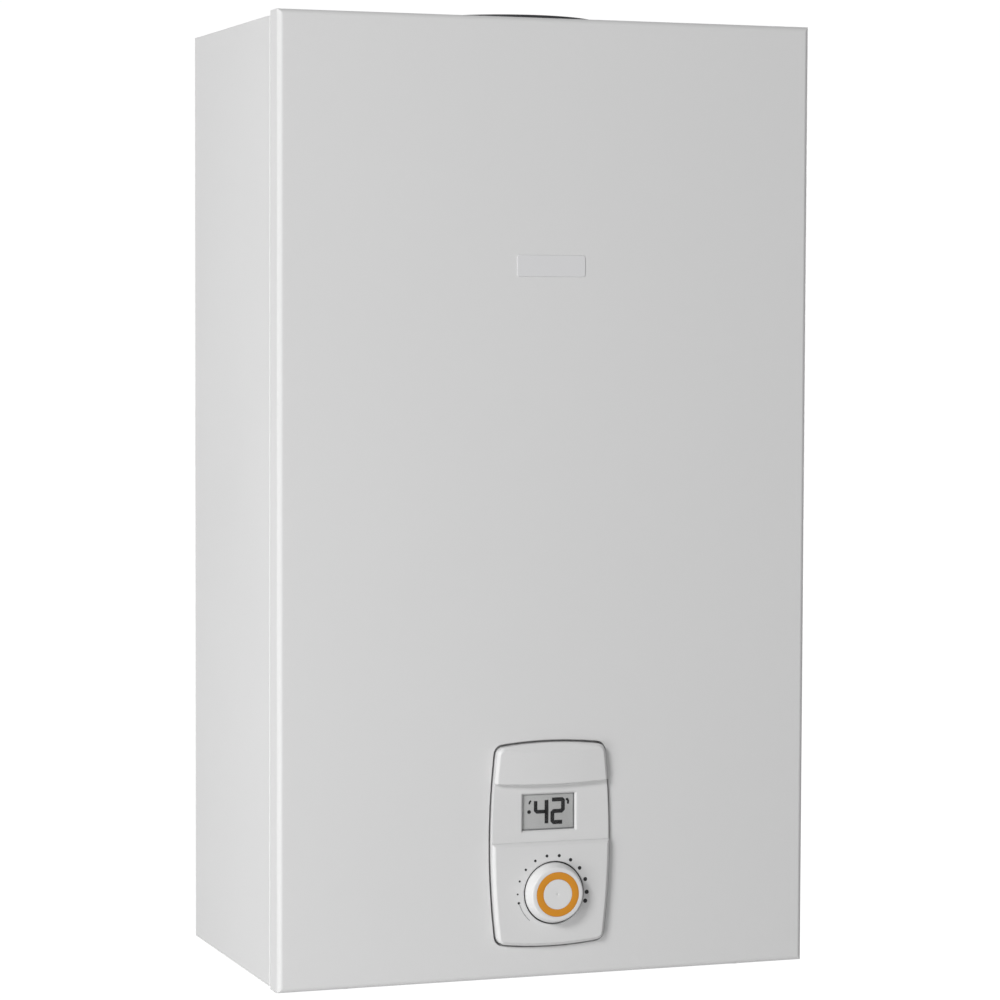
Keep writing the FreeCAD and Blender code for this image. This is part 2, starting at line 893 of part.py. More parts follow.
def control_unit():
    """The control panel, what is behind it, and the bracket that carries it."""
    bezel = new_body("Bezel")
    flange = sketch_on(bezel, "XZ_Plane", -housing_front)
    rectangle(flange, (-S.housing_half, S.housing_half), (S.housing_low, S.housing_high))
    pad(bezel, flange, S.flange_thickness)
    face = sketch_on(bezel, "XZ_Plane", -housing_front)
    panel_outline(face, 0)
    pad(bezel, face, housing_front - fascia_front)
    band = sketch_on(bezel, "XZ_Plane", -fascia_front)
    rectangle(band, (-S.housing_half, S.housing_half), (S.fascia_top, S.housing_high))
    pocket(bezel, band, band_front - fascia_front)
    corner_span = (S.panel_bottom.value, S.panel_top.value)

    def panel_corner(edge):
        box = edge.BoundBox
        return (runs_along(edge, "y") and box.YMin < front.value
                and corner_span[0] < box.ZMin < corner_span[1] and near_panel_end(box.ZMin))

    round_off(bezel, S.panel_corner, panel_corner)
    round_off(bezel, S.fascia_slope, lambda edge: on_level(edge, "y", fascia_front),
              "PartDesign::Chamfer", "Size")
    hollow = sketch_on(bezel, "XZ_Plane", -housing_front)
    panel_outline(hollow, 0, S.panel_wall + S.flange_thickness / 2)
    pocket(bezel, hollow, housing_front - band_front - S.panel_wall, backwards=True)
    window = sketch_on(bezel, "XZ_Plane", -band_front)
    rectangle(window, (-S.window_left, S.window_right), (S.window_low, S.window_high))
    pocket(bezel, window, 2 * S.panel_wall)

    def window_edge(edge):
        box = edge.BoundBox
        inside = box.ZMin > S.fascia_top.value + S.fascia_slope.value and box.ZMax < S.cap_bottom.value
        return on_level(edge, "y", band_front) and inside and box.DiagonalLength < S.housing_half.value

    round_off(bezel, S.window_slope, window_edge, "PartDesign::Chamfer", "Size")
    recess = sketch_on(bezel, "XZ_Plane", -fascia_front)
    circle(recess, (S.knob_across, S.knob_height), S.knob_radius + S.knob_recess_gap)
    pocket(bezel, recess, S.knob_recess)
    spindle_hole = sketch_on(bezel, "XZ_Plane", -fascia_front)
    many_sided(spindle_hole, (S.knob_across, S.knob_height),
               (S.bushing_radius + S.screw_clearance) / math.cos(math.pi / ROUND_SIDES), ROUND_SIDES)
    pocket(bezel, spindle_hole, 4 * S.panel_wall)
    piece("control_bezel", bezel)
    piece("bezel_cap", bezel_cap())
    lens_back = band_front + S.window_recess + S.window_thickness
    lens_x = (-S.window_left + S.window_fit, S.window_right - S.window_fit)
    lens_z = (S.window_low + S.window_fit, S.window_high - S.window_fit)
    piece("display_window", block(lens_x, (lens_back - S.window_thickness, lens_back), lens_z))
    piece("lcd_module", block(
        (-S.window_left - S.display_border, S.window_right + S.display_border),
        (lens_back, board_front), (S.window_low - S.display_border, S.window_high + S.display_border)))
    piece("control_pcb", block((-S.board_half, S.board_half),
                               (board_front, board_front + S.board_thickness),
                               (S.board_low, S.board_high)))
    shell = block((-S.housing_half, S.housing_half), (housing_front, housing_back),
                  (S.housing_low, S.housing_high))
    room = block((-S.housing_half + S.housing_wall, S.housing_half - S.housing_wall),
                 (housing_front - S.housing_wall, housing_back - S.housing_wall),
                 (S.housing_low + S.housing_wall, S.housing_high - S.housing_wall))
    vents = [block((S.housing_half - 2 * S.housing_wall, S.housing_half + S.housing_wall),
                   (housing_back - S.housing_wall - S.vent_length, housing_back - 2 * S.housing_wall),
                   (S.vent_low + number * S.vent_pitch, S.vent_low + number * S.vent_pitch + S.vent_width))
             for number in range(int(S.vent_count.value))]
    piece("control_housing", cut(shell, room, *vents))
    upright = block((-S.bracket_half, S.bracket_half), (housing_back, housing_back + S.sheet),
                    (floor_top, S.bracket_height))
    foot = block((-S.bracket_half, S.bracket_half), (housing_back, housing_back + S.bracket_foot),
                 (floor_top, floor_top + S.sheet))
    piece("control_bracket", fuse(upright, foot))
    knob_parts()


def near_panel_end(height):
    """Whether a height is at the upper or the lower corners of the control panel."""
    return (height > S.panel_top.value - 2 * S.panel_corner.value
            or height < S.panel_bottom.value + 2 * S.panel_corner.value)


def bezel_cap():
    """The band at the top of the control panel: crowned, with a sloping facet along its upper edge."""
    body = new_body("Cap")
    face = sketch_on(body, "XZ_Plane", -band_front)
    panel_outline(face, 0)
    thickness = S.fascia_stand - S.band_stand + S.cap_crown
    pad(body, face, thickness)
    below = sketch_on(body, "XZ_Plane", -(band_front - thickness))
    low = S.panel_bottom - S.panel_corner
    edge_height = S.cap_bottom + S.cap_dip
    outline(below, [(-S.housing_half, low), (S.housing_half, low), (S.housing_half, edge_height),
                    (-S.housing_half, edge_height)], {2: (S.panel_across, S.cap_bottom)})
    pocket(body, below, thickness)
    round_off(body, S.panel_corner,
              lambda edge: runs_along(edge, "y") and near_panel_end(edge.BoundBox.ZMin))
    round_off(body, S.cap_slope, lambda edge: on_level(edge, "y", band_front - thickness)
              and edge.BoundBox.ZMax > edge_height.value + TOUCH, "PartDesign::Chamfer", "Size")
    crown = rod("z", S.cap_bulge_radius, low, S.panel_top + S.panel_corner,
                (S.panel_across, fascia_front - S.cap_crown + S.cap_bulge_radius))
    crowned = doc.addObject("Part::Common", "Crowned")
    crowned.Base = body
    crowned.Tool = crown
    crest = fascia_front - S.cap_crown
    facet = new_body("Facet")
    slope = sketch_on(facet, "YZ_Plane", -S.housing_half)
    outline(slope, [(crest, S.panel_top - S.cap_facet_height),
                    (crest + 2 * S.cap_facet_drop, S.panel_top + S.cap_facet_height),
                    (crest, S.panel_top + S.cap_facet_height)])
    pad(facet, slope, 2 * S.housing_half)
    return cut(crowned, facet)


def knob_parts():
    """The knob, its coloured ring and its spindle, and the potentiometer that they turn."""
    recess_floor = fascia_front + S.knob_recess
    knob_back = recess_floor - S.knob_float
    knob_front = fascia_front - S.knob_stand
    shoulder_start = knob_front + S.knob_shoulder
    bore = S.spindle_radius + S.running_fit
    bore_end = knob_back - S.knob_bore_depth
    ring_floor = knob_front + S.ring_depth
    knob = new_body("Knob")
    profile = sketch_on(knob, "XY_Plane", 0)
    outline(profile, [
        (bore, knob_back), (S.knob_radius, knob_back), (S.knob_radius, shoulder_start),
        (S.knob_face_radius, knob_front), (S.ring_outer + S.running_fit, knob_front),
        (S.ring_outer + S.running_fit, ring_floor), (S.ring_inner - S.running_fit, ring_floor),
        (S.ring_inner - S.running_fit, knob_front), (0, knob_front), (0, bore_end), (bore, bore_end),
    ])
    revolve(knob, profile)
    ring = new_body("KnobRing")
    section = sketch_on(ring, "XY_Plane", 0)
    rectangle(section, (S.ring_inner, S.ring_outer), (knob_front + S.ring_sink, ring_floor))
    revolve(ring, section)
    spindle_back = board_front - S.potentiometer_depth / 2
    spindle = bar("y", S.spindle_radius, bore_end, spindle_back, (0, 0))
    shaft = doc.addObject("Part::Compound", "Spindle")
    shaft.Links = [spindle]
    for name, solid in (("knob", knob), ("knob_ring", ring), ("knob_spindle", shaft)):
        piece(name, solid)
        bind(solid, "Placement.Base.x", S.knob_across)
        bind(solid, "Placement.Base.z", S.knob_height - S.hang_height)
    centre = (S.knob_across, S.knob_height)
    case_front = board_front - S.potentiometer_depth
    half = S.potentiometer_half
    case = block((S.knob_across - half, S.knob_across + half), (case_front, board_front),
                 (S.knob_height - half, S.knob_height + half))
    spindle_hole = (S.spindle_radius + S.running_fit) / math.cos(math.pi / ROUND_SIDES)
    bushing = bar("y", S.bushing_radius, recess_floor + S.panel_wall, case_front + S.panel_wall, centre)
    bored = bar("y", spindle_hole, recess_floor, spindle_back, centre)
    piece("potentiometer", cut(fuse(case, bushing), bored))


# Heat cell

shell_half = half_width - S.shell_side_room
shell_high = S.tube_height + S.shell_headroom
tube_places = [flue_y - S.tube_pitch, flue_y, flue_y + S.tube_pitch]
tube_end = shell_half + S.tube_overhang
tube_hole = (S.tube_radius + S.running_fit) / math.cos(math.pi / 6)
coil_x = shell_half + S.coil_gap + S.pipe_radius
coil_back = shell_back + S.coil_gap + S.pipe_radius
coil_front = shell_front - S.coil_gap - S.pipe_radius
riser_x = coil_x + S.riser_offset
coil_low = S.burner_high + S.coil_lift
hood_base_half = shell_half + S.hood_overhang
hood_top_half = S.flue_radius + S.hood_top_margin
hood_half_depth = S.shell_half_depth + S.hood_overhang
hood_front = flue_y - hood_half_depth
hood_back = flue_y + hood_half_depth
hood_low = shell_high


def flue_hood():
    """The hood over the exchanger: sloping sides, a relief slot in front and the flue hole on top."""
    body = new_body("Hood")
    outside = sketch_on(body, "XZ_Plane", -hood_back)
    shoulder = hood_low + S.hood_straight
    outline(outside, [(-hood_base_half, hood_low), (hood_base_half, hood_low),
                      (hood_base_half, shoulder), (hood_top_half, S.hood_top),
                      (-hood_top_half, S.hood_top), (-hood_base_half, shoulder)])
    pad(body, outside, 2 * hood_half_depth)
    inside = sketch_on(body, "XZ_Plane", -hood_back + S.sheet)
    base, top = hood_base_half - S.sheet, hood_top_half - S.sheet
    roof = S.hood_top - S.sheet
    outline(inside, [(-base, hood_low + S.sheet), (base, hood_low + S.sheet), (base, shoulder),
                     (top, roof), (-top, roof), (-base, shoulder)])
    pocket(body, inside, 2 * (hood_half_depth - S.sheet), backwards=True)
    throat = sketch_on(body, "XY_Plane", hood_low)
    inner_half = shell_half - 2 * S.sheet
    inner_depth = S.shell_half_depth - 2 * S.sheet
    rectangle(throat, (-inner_half, inner_half), (flue_y - inner_depth, flue_y + inner_depth))
    pocket(body, throat, S.sheet, backwards=True)
    hole = sketch_on(body, "XY_Plane", S.hood_top)
    circle(hole, (0, flue_y), S.flue_radius - S.collar_wall)
    pocket(body, hole, S.sheet)
    relief = sketch_on(body, "XZ_Plane", -hood_front)
    rectangle(relief, (-S.relief_half, S.relief_half),
              (hood_low + S.relief_low, hood_low + S.relief_low + S.relief_height))
    pocket(body, relief, S.sheet)
    piece("flue_hood", body)


def flue_collar():
    """The round collar that stands on the hood and that the flue pipe slips over."""
    collar = rod("z", S.flue_radius, S.hood_top, S.collar_top, (0, flue_y))
    piece("flue_collar", cut(collar, rod("z", S.flue_radius - S.collar_wall, S.hood_top - S.sheet,
                                         S.collar_top + S.sheet, (0, flue_y))))


def exchanger():
    """The copper jacket, the finned tubes that cross it, their return bends and the coil round it."""
    outside = block((-shell_half, shell_half), (shell_front, shell_back),
                    (S.burner_high, shell_high))
    inside = block((-shell_half + S.sheet, shell_half - S.sheet),
                   (shell_front + S.sheet, shell_back - S.sheet),
                   (S.burner_high - S.sheet, shell_high + S.sheet))
    holes = [hexagon("x", tube_hole, -tube_end, tube_end, (y, S.tube_height)) for y in tube_places]
    holes += [bar("y", S.insulator_radius + S.tube_clearance, shell_front - S.sheet,
                  shell_front + 2 * S.sheet, place) for place in electrode_places]
    piece("exchanger_shell", cut(outside, inside, *holes))
    body = new_body("Fins")
    first = -(shell_half - S.fin_end_room) - S.fin_thickness / 2
    pitch = 2 * (shell_half - S.fin_end_room) / (S.fin_count - 1)
    sketch = sketch_on(body, "YZ_Plane", first)
    room = S.sheet + S.fin_side_gap
    rectangle(sketch, (shell_front + room, shell_back - room),
              (S.tube_height - S.fin_half, S.tube_height + S.fin_half))
    for y in tube_places:
        many_sided(sketch, (y, S.tube_height), tube_hole, 6)
    row_of(body, pad(body, sketch, S.fin_thickness), sketch, "N_Axis", S.fin_count, pitch)
    piece("exchanger_fins", body)
    piece("exchanger_tubes", *[
        pipe(S.tube_radius, S.coil_bend, (-tube_end, y, S.tube_height), (tube_end, y, S.tube_height))
        for y in tube_places])
    piece("return_bends", return_bend(-1, tube_places[0]), return_bend(1, tube_places[1]))
    piece("jacket_coil", pipe(
        S.pipe_radius, S.coil_bend,
        (coil_x, coil_back, S.coil_start),
        (coil_x, coil_back, coil_low),
        (-coil_x, coil_back, coil_low + S.coil_rise),
        (-coil_x, coil_front, coil_low + 2 * S.coil_rise),
        (riser_x, coil_front, coil_low + 3 * S.coil_rise),
        (riser_x, tube_places[0], S.tube_height),
        (tube_end, tube_places[0], S.tube_height)))
    brackets = [bracket(sign, low) for sign in (-1, 1)
                for low in (shell_high - S.upper_bracket_drop, S.burner_low + S.lower_bracket_rise)]
    piece("exchanger_brackets", *brackets)


def return_bend(side, from_y):
    """A half turn of pipe that joins one tube's end to the next one's."""
    half = S.tube_pitch / 2
    reach = side * (tube_end + half)
    ends = [(side * tube_end, y, S.tube_height) for y in (from_y, from_y + S.tube_pitch)]
    return pipe(S.tube_radius, half, ends[0], (reach, from_y, S.tube_height),
                (reach, from_y + S.tube_pitch, S.tube_height), ends[1])


def bracket(sign, low):
    """A folded bracket from the back panel to the heat cell."""
    body = new_body("Bracket")
    sketch = sketch_on(body, "XY_Plane", low)
    web = sign * S.bracket_across
    web_outside = sign * (S.bracket_across + S.bracket_web)
    tip = sign * (S.bracket_across - S.bracket_flange)
    outline(sketch, [
        (tip, back_face), (web_outside, back_face), (web_outside, shell_back), (tip, shell_back),
        (tip, shell_back + S.bracket_web), (web, shell_back + S.bracket_web),
        (web, back_face - S.bracket_web), (tip, back_face - S.bracket_web),
    ])
    pad(body, sketch, S.bracket_tall)
    return body


# Burner

manifold_back = shell_front - S.manifold_standoff
manifold_front = manifold_back - S.manifold_depth
manifold_y = manifold_back - S.manifold_depth / 2
manifold_high = S.manifold_low + S.manifold_height
gas_pipe_run = S.manifold_low - S.gas_pipe_drop
bar_top = S.burner_low + S.bar_thickness
blade_front = shell_front + S.sheet + S.blade_front_gap
blade_back = shell_back - S.sheet - S.blade_back_gap
first_blade = -(shell_half - S.blade_end_room)
blade_pitch = -2 * first_blade / (S.blade_count - 1)
manifold_half = shell_half - S.manifold_end_gap
electrode_z = S.burner_high + S.electrode_rise
electrode_places = [(sign * S.electrode_spacing / 2, electrode_z) for sign in (-1, 1)]
plate_front = shell_front - S.sheet
insulator_front = plate_front - S.insulator_outside
electrode_front = insulator_front - S.electrode_tail


def burner():
    """The burner: a frame, a row of blades, the gas manifold and its injectors."""
    outside = block((-shell_half, shell_half), (shell_front, shell_back),
                    (S.burner_low, S.burner_high))
    inside = block((-shell_half + S.sheet, shell_half - S.sheet),
                   (shell_front + S.sheet, shell_back - S.sheet),
                   (S.burner_low - S.sheet, S.burner_high + S.sheet))
    window_half = manifold_half - S.manifold_foot - S.window_margin
    window = block((-window_half, window_half), (shell_front - S.sheet, shell_front + 2 * S.sheet),
                   (S.manifold_low - S.window_margin, manifold_high + S.window_margin))
    rails = [block((-shell_half, shell_half), (start, start + S.bar_width), (S.burner_low, bar_top))
             for start in (shell_front, blade_back - S.blade_heel - S.bar_width)]
    piece("burner_frame", fuse(cut(outside, inside, window), *rails))
    body = new_body("Blades")
    profile = sketch_on(body, "YZ_Plane", first_blade - S.blade_thickness / 2)
    outline(profile, [
        (blade_front, bar_top), (blade_front, S.blade_shoulder),
        (blade_front + S.blade_setback, S.blade_shoulder + S.blade_setback),
        (blade_front + S.blade_setback, S.blade_high), (blade_back, S.blade_high),
        (blade_back, bar_top + S.blade_heel), (blade_back - S.blade_heel, bar_top),
    ])
    row_of(body, pad(body, profile, S.blade_thickness), profile, "N_Axis", S.blade_count, blade_pitch)
    piece("burner_blades", body)
    tube = block((-manifold_half, manifold_half), (manifold_front, manifold_back),
                 (S.manifold_low, manifold_high))
    feet = [block(span, (manifold_back - S.sheet, shell_front), (S.manifold_low, manifold_high))
            for span in ((-manifold_half, -manifold_half + S.manifold_foot),
                         (manifold_half - S.manifold_foot, manifold_half))]
    piece("gas_manifold", fuse(tube, *feet))
    height = S.manifold_low + S.manifold_height / 2
    piece("injectors", *[
        hexagon("y", S.injector_radius, manifold_back, manifold_back + S.injector_length,
                (first_blade + number * blade_pitch, height))
        for number in range(int(S.blade_count.value))])


def electrodes():
    """The plate on the jacket with the spark electrode on the left and the flame electrode on the right."""
    plate = block((-S.electrode_plate_half, S.electrode_plate_half), (plate_front, shell_front),
                  (electrode_z - S.electrode_plate_height / 2,
                   electrode_z + S.electrode_plate_height / 2))
    holes = [bar("y", S.insulator_radius + S.running_fit, plate_front - S.sheet,
                 shell_front + S.sheet, place) for place in electrode_places]
    piece("electrode_plate", cut(plate, *holes))
    inner_end = shell_front + S.sheet + S.insulator_inside
    insulators = []
    for place in electrode_places:
        ceramic = bar("y", S.insulator_radius, insulator_front, inner_end, place)
        bore = hexagon("y", S.electrode_radius + S.running_fit, insulator_front - S.sheet,
                       inner_end + S.sheet, place)
        insulators.append(cut(ceramic, bore))
    piece("electrode_insulators", *insulators)
    piece("electrode_rods", *[hexagon("y", S.electrode_radius, electrode_front,
                                      inner_end + S.electrode_reach, place)
                              for place in electrode_places])


# Gas and water

thread_low = -S.stub_drop
valve_front = -S.valve_front
valve_outlet_y = -S.valve_outlet_setback
outlet_top = S.valve_high + S.outlet_boss
cold_x = S.water_spacing
hot_x = -S.water_spacing
sensor_top = S.water_body_high + S.sensor_height


def fitting(name, x, top, *extras):
    """A threaded connection: thread and nut under the casing, square flange on the floor, neck above it."""
    centre = (x, pipe_y)
    solids = [
        rod("z", S.thread_radius, thread_low, thread_low + S.thread_length, centre),
        hexagon("z", S.nut_radius, -S.nut_below, floor_top + S.fitting_flange / 2, centre),
        block((x - S.fitting_flange_half, x + S.fitting_flange_half),
              (pipe_y - S.fitting_flange_half, pipe_y + S.fitting_flange_half),
              (floor_top, floor_top + S.fitting_flange)),
        bar("z", S.fitting_neck, floor_top, top, centre),
    ]
    piece(name, fuse(*solids, *extras))


def union_nut(radius, low, centre):
    """A six-sided nut round a pipe's end."""
    nut = hexagon("z", S.union_radius, low, low + S.nut_height, centre)
    return cut(nut, bar("z", radius + S.screw_clearance, low - S.sheet, low + 2 * S.nut_height, centre))


def gas_valve_body():
    """The die-cast valve: a body with broken edges, a cover, an outlet, a test nipple and a regulator."""
    cover_low = S.valve_high - S.valve_cover
    body = new_body("Valve")
    plan = sketch_on(body, "XY_Plane", S.gas_fitting_top)
    rectangle(plan, (-S.valve_half, S.valve_half), (valve_front, -S.valve_back))
    pad(body, plan, cover_low - S.gas_fitting_top)
    round_off(body, S.valve_edge, lambda edge: runs_along(edge, "z"), "PartDesign::Chamfer", "Size")
    wide = S.valve_half + S.valve_cover_lap
    cover = block((-wide, wide), (valve_front, -S.valve_back + S.valve_cover_lap), (cover_low, S.valve_high))
    boss = bar("z", S.outlet_boss_radius, S.valve_high - S.sheet, outlet_top, (0, valve_outlet_y))
    nipple = hexagon("z", S.nipple_radius, S.valve_high - S.sheet, S.valve_high + S.nipple_height,
                     (S.valve_half - S.nipple_inset, -S.valve_back - S.nipple_inset))
    side = ((valve_front - S.valve_back) / 2, (S.gas_fitting_top + cover_low) / 2)
    housing = bar("x", S.regulator_radius, S.valve_half - S.sheet, S.valve_half + S.regulator_reach, side)
    cap_end = S.valve_half + S.regulator_reach + S.regulator_cap
    cap = bar("x", S.regulator_cap_radius, S.valve_half, cap_end, side)
    return fuse(body, cover, boss, nipple, housing, cap)


def gas_side():
    """The gas inlet, the valve with its two coils, the plunger and the pipe to the burner."""
    fitting("gas_inlet_fitting", Size.of(0), S.gas_fitting_top)
    piece("gas_valve_body", gas_valve_body())
    bore_end = valve_front - S.plunger_length - S.plunger_travel - S.end_gap
    coil_end = bore_end - S.coil_cap
    left, right = [(sign * S.coil_spacing / 2, S.coil_height) for sign in (-1, 1)]
    on_off = cut(bar("y", S.coil_radius, coil_end, valve_front, left),
                 bar("y", S.plunger_radius + S.running_fit, bore_end, valve_front + S.sheet, left))
    piece("shut_off_coil", on_off)
    yoke = block((S.coil_spacing / 2 - S.yoke_half, S.coil_spacing / 2 + S.yoke_half),
                 (coil_end, valve_front), (S.coil_height - S.coil_radius, S.coil_height + S.coil_radius))
    nut = hexagon("y", S.yoke_nut_radius, coil_end - S.coil_cap, coil_end + S.sheet, right)
    piece("modulating_coil", fuse(yoke, nut))
    piece("gas_plunger", bar("y", S.plunger_radius, valve_front - S.plunger_length, valve_front, left))
    piece("gas_pipe", pipe(
        S.gas_pipe_radius, S.gas_bend,
        (0, valve_outlet_y, outlet_top),
        (0, valve_outlet_y, gas_pipe_run),
        (0, manifold_y, gas_pipe_run),
        (0, manifold_y, S.manifold_low)))


def water_side():
    """The cold inlet, the water valve, the flow sensor with its rotor, and the pipes."""
    centre = (cold_x, pipe_y)
    fitting("cold_inlet_fitting", cold_x, S.cold_fitting_top)
    boss = bar("y", S.probe_boss_radius, pipe_y - S.probe_boss, pipe_y, (hot_x, S.probe_height))
    fitting("hot_outlet_fitting", hot_x, S.hot_fitting_top, boss)
    foot = block((cold_x - S.water_foot_half, cold_x + S.water_foot_reach),
                 (pipe_y - S.water_foot_half, pipe_y + S.water_foot_half),
                 (S.cold_fitting_top, S.water_foot_high))
    rim_low = S.water_foot_high
    upper_rim = rim_low + S.diaphragm_rim + S.diaphragm_gap
    rims = [bar("z", S.diaphragm_radius, low, low + S.diaphragm_rim, centre) for low in (rim_low, upper_rim)]
    waist = bar("z", S.diaphragm_waist, rim_low, upper_rim + S.diaphragm_rim, centre)
    neck = bar("z", S.water_neck_radius, upper_rim, S.water_body_high, centre)
    piece("water_valve_body", fuse(foot, waist, neck, *rims))
    wall = S.sensor_wall
    middle = S.water_body_high + S.sensor_height / 2
    shaft_half = S.rotor_shaft_length / 2
    housing = bar("z", S.sensor_radius, S.water_body_high, sensor_top, centre)
    room = bar("z", S.sensor_radius - wall, S.water_body_high + wall, sensor_top - wall, centre)
    bearings = bar("z", S.rotor_shaft + S.running_fit, middle - shaft_half - S.end_gap,
                   middle + shaft_half + S.end_gap, centre)
    piece("flow_sensor_housing", cut(housing, room, bearings))
    reach, thin = S.rotor_radius, S.rotor_blade / 2
    span = (middle - S.rotor_height / 2, middle + S.rotor_height / 2)
    blades = [block((cold_x - across, cold_x + across), (pipe_y - deep, pipe_y + deep), span)
              for across, deep in ((reach, thin), (thin, reach))]
    hub = bar("z", S.rotor_hub, *span, centre)
    shaft = bar("z", S.rotor_shaft, middle - shaft_half, middle + shaft_half, centre)
    piece("flow_rotor", fuse(hub, shaft, *blades))
    piece("drain_plug", hexagon("z", S.drain_radius, S.cold_fitting_top - S.drain_length,
                                S.cold_fitting_top, (cold_x + S.drain_across, pipe_y)))
    piece("cold_pipe", pipe(
        S.pipe_radius, S.coil_bend,
        (cold_x, pipe_y, sensor_top),
        (cold_x, pipe_y, S.cold_turn_height),
        (coil_x, coil_back, S.cold_turn_height + S.cold_turn_rise),
        (coil_x, coil_back, S.coil_start)))
    piece("hot_pipe", pipe(
        S.pipe_radius, S.coil_bend,
        (-tube_end, tube_places[-1], S.tube_height),
        (-riser_x, tube_places[-1], S.tube_height),
        (-riser_x, -S.hot_turn_setback, S.hot_turn_height),
        (hot_x, pipe_y, S.hot_entry_height),
        (hot_x, pipe_y, S.hot_fitting_top)))
    piece("union_nuts",
          union_nut(S.pipe_radius, S.hot_fitting_top, (hot_x, pipe_y)),
          union_nut(S.pipe_radius, sensor_top, centre),
          union_nut(S.gas_pipe_radius, outlet_top, (0, valve_outlet_y)))
    piece("outlet_temperature_sensor",
          bar("y", S.probe_radius, pipe_y - S.probe_boss - S.probe_length, pipe_y - S.probe_boss,
              (hot_x, S.probe_height)))


# Electrics

lid_high = box_bottom - S.lid_gap
lid_low = lid_high - S.lid_thickness
lid_half = battery_half + S.lid_border
lid_half_depth = battery_half_depth + S.lid_border
lid_back = battery_y + lid_half_depth
lug_half = S.hinge_lug_size / 2
pin_hole = (S.hinge_pin_radius + S.running_fit) / math.cos(math.pi / ROUND_SIDES)
hinge_y = lid_back + lug_half + S.slip_gap
hinge_z = lid_high - S.hinge_radius
battery_low = lid_high + S.slip_gap
battery_high = battery_low + S.battery_length
contact_high = battery_high + S.battery_nub + S.slip_gap


def battery_box():
    """The battery box on the floor, its two batteries, and the lid that swings down under it."""
    wall = S.battery_wall
    box = block((battery_x - battery_half - wall, battery_x + battery_half + wall),
                (battery_y - battery_half_depth - wall, battery_y + battery_half_depth + wall),
                (floor_top, contact_high + wall))
    rim = wall + S.battery_flange
    flange = block((battery_x - battery_half - rim, battery_x + battery_half + rim),
                   (battery_y - battery_half_depth - rim, battery_y + battery_half_depth + rim),
                   (floor_top, floor_top + wall))
    room = block((battery_x - battery_half, battery_x + battery_half),
                 (battery_y - battery_half_depth, battery_y + battery_half_depth),
                 (floor_top - wall, contact_high))
    pitch = 2 * battery_half / (S.battery_rib_count - 1)
    ribs = [block((battery_x - battery_half + number * pitch - S.battery_rib / 2,
                   battery_x - battery_half + number * pitch + S.battery_rib / 2),
                  (battery_y - battery_half_depth - wall - S.battery_rib,
                   battery_y + battery_half_depth + wall + S.battery_rib),
                  (floor_top, contact_high - wall))
            for number in range(int(S.battery_rib_count.value))]
    piece("battery_box", cut(fuse(box, flange, *ribs), room))
    batteries = []
    for sign in (-1, 1):
        centre = (battery_x + sign * (S.battery_radius + S.battery_room / 2), battery_y)
        can = bar("z", S.battery_radius, battery_low, battery_high, centre, 2 * ROUND_SIDES)
        nub = hexagon("z", S.battery_nub_radius, battery_high - S.sheet,
                      battery_high + S.battery_nub, centre)
        batteries.append(fuse(can, nub))
    piece("batteries", *batteries)
    knuckle_half = lid_half - S.hinge_lug_width - S.slip_gap
    axis = (hinge_y, hinge_z)
    plate = block((battery_x - lid_half, battery_x + lid_half),
                  (battery_y - lid_half_depth, lid_back), (lid_low, lid_high))
    web = block((battery_x - knuckle_half, battery_x + knuckle_half),
                (lid_back - S.sheet, hinge_y), (lid_low, lid_high))
    knuckle = rod("x", S.hinge_radius, battery_x - knuckle_half, battery_x + knuckle_half, axis)
    pins = bar("x", S.hinge_pin_radius, battery_x - lid_half, battery_x + lid_half, axis)
    piece("battery_lid", fuse(plate, web, knuckle, pins))
    lugs = []
    for side in (-1, 1):
        ends = sorted((battery_x + side * (lid_half - S.hinge_lug_width), battery_x + side * lid_half),
                      key=lambda place: place.value)
        foot = block(ends, (hinge_y - lug_half, hinge_y + lug_half), (hinge_z, box_bottom))
        eye = bar("x", lug_half, *ends, axis)
        hole = bar("x", pin_hole, ends[0] - S.sheet, ends[1] + S.sheet, axis)
        lugs.append(cut(fuse(foot, eye), hole))
    piece("battery_lid_hinge", *lugs)


def thermostat(name, face, height, terminal_side):
    """A disc thermostat on a front-facing wall, with one terminal up or down."""
    x = S.thermostat_across
    disc = bar("y", S.thermostat_radius, face - S.thermostat_height, face, (x, height))
    edge = height + terminal_side * (S.thermostat_radius - S.sheet)
    tip = height + terminal_side * (S.thermostat_radius + S.terminal_length)
    ends = sorted((edge, tip), key=lambda place: place.value)
    terminal = block((x - S.terminal_width / 2, x + S.terminal_width / 2),
                     (face - S.thermostat_height, face - S.thermostat_height + S.terminal_thickness), ends)
    piece(name, fuse(disc, terminal))
    return tip


def lead(*points):
    """An insulated lead through the points."""
    return pipe(S.lead_radius, S.lead_bend, *points, sides=6)


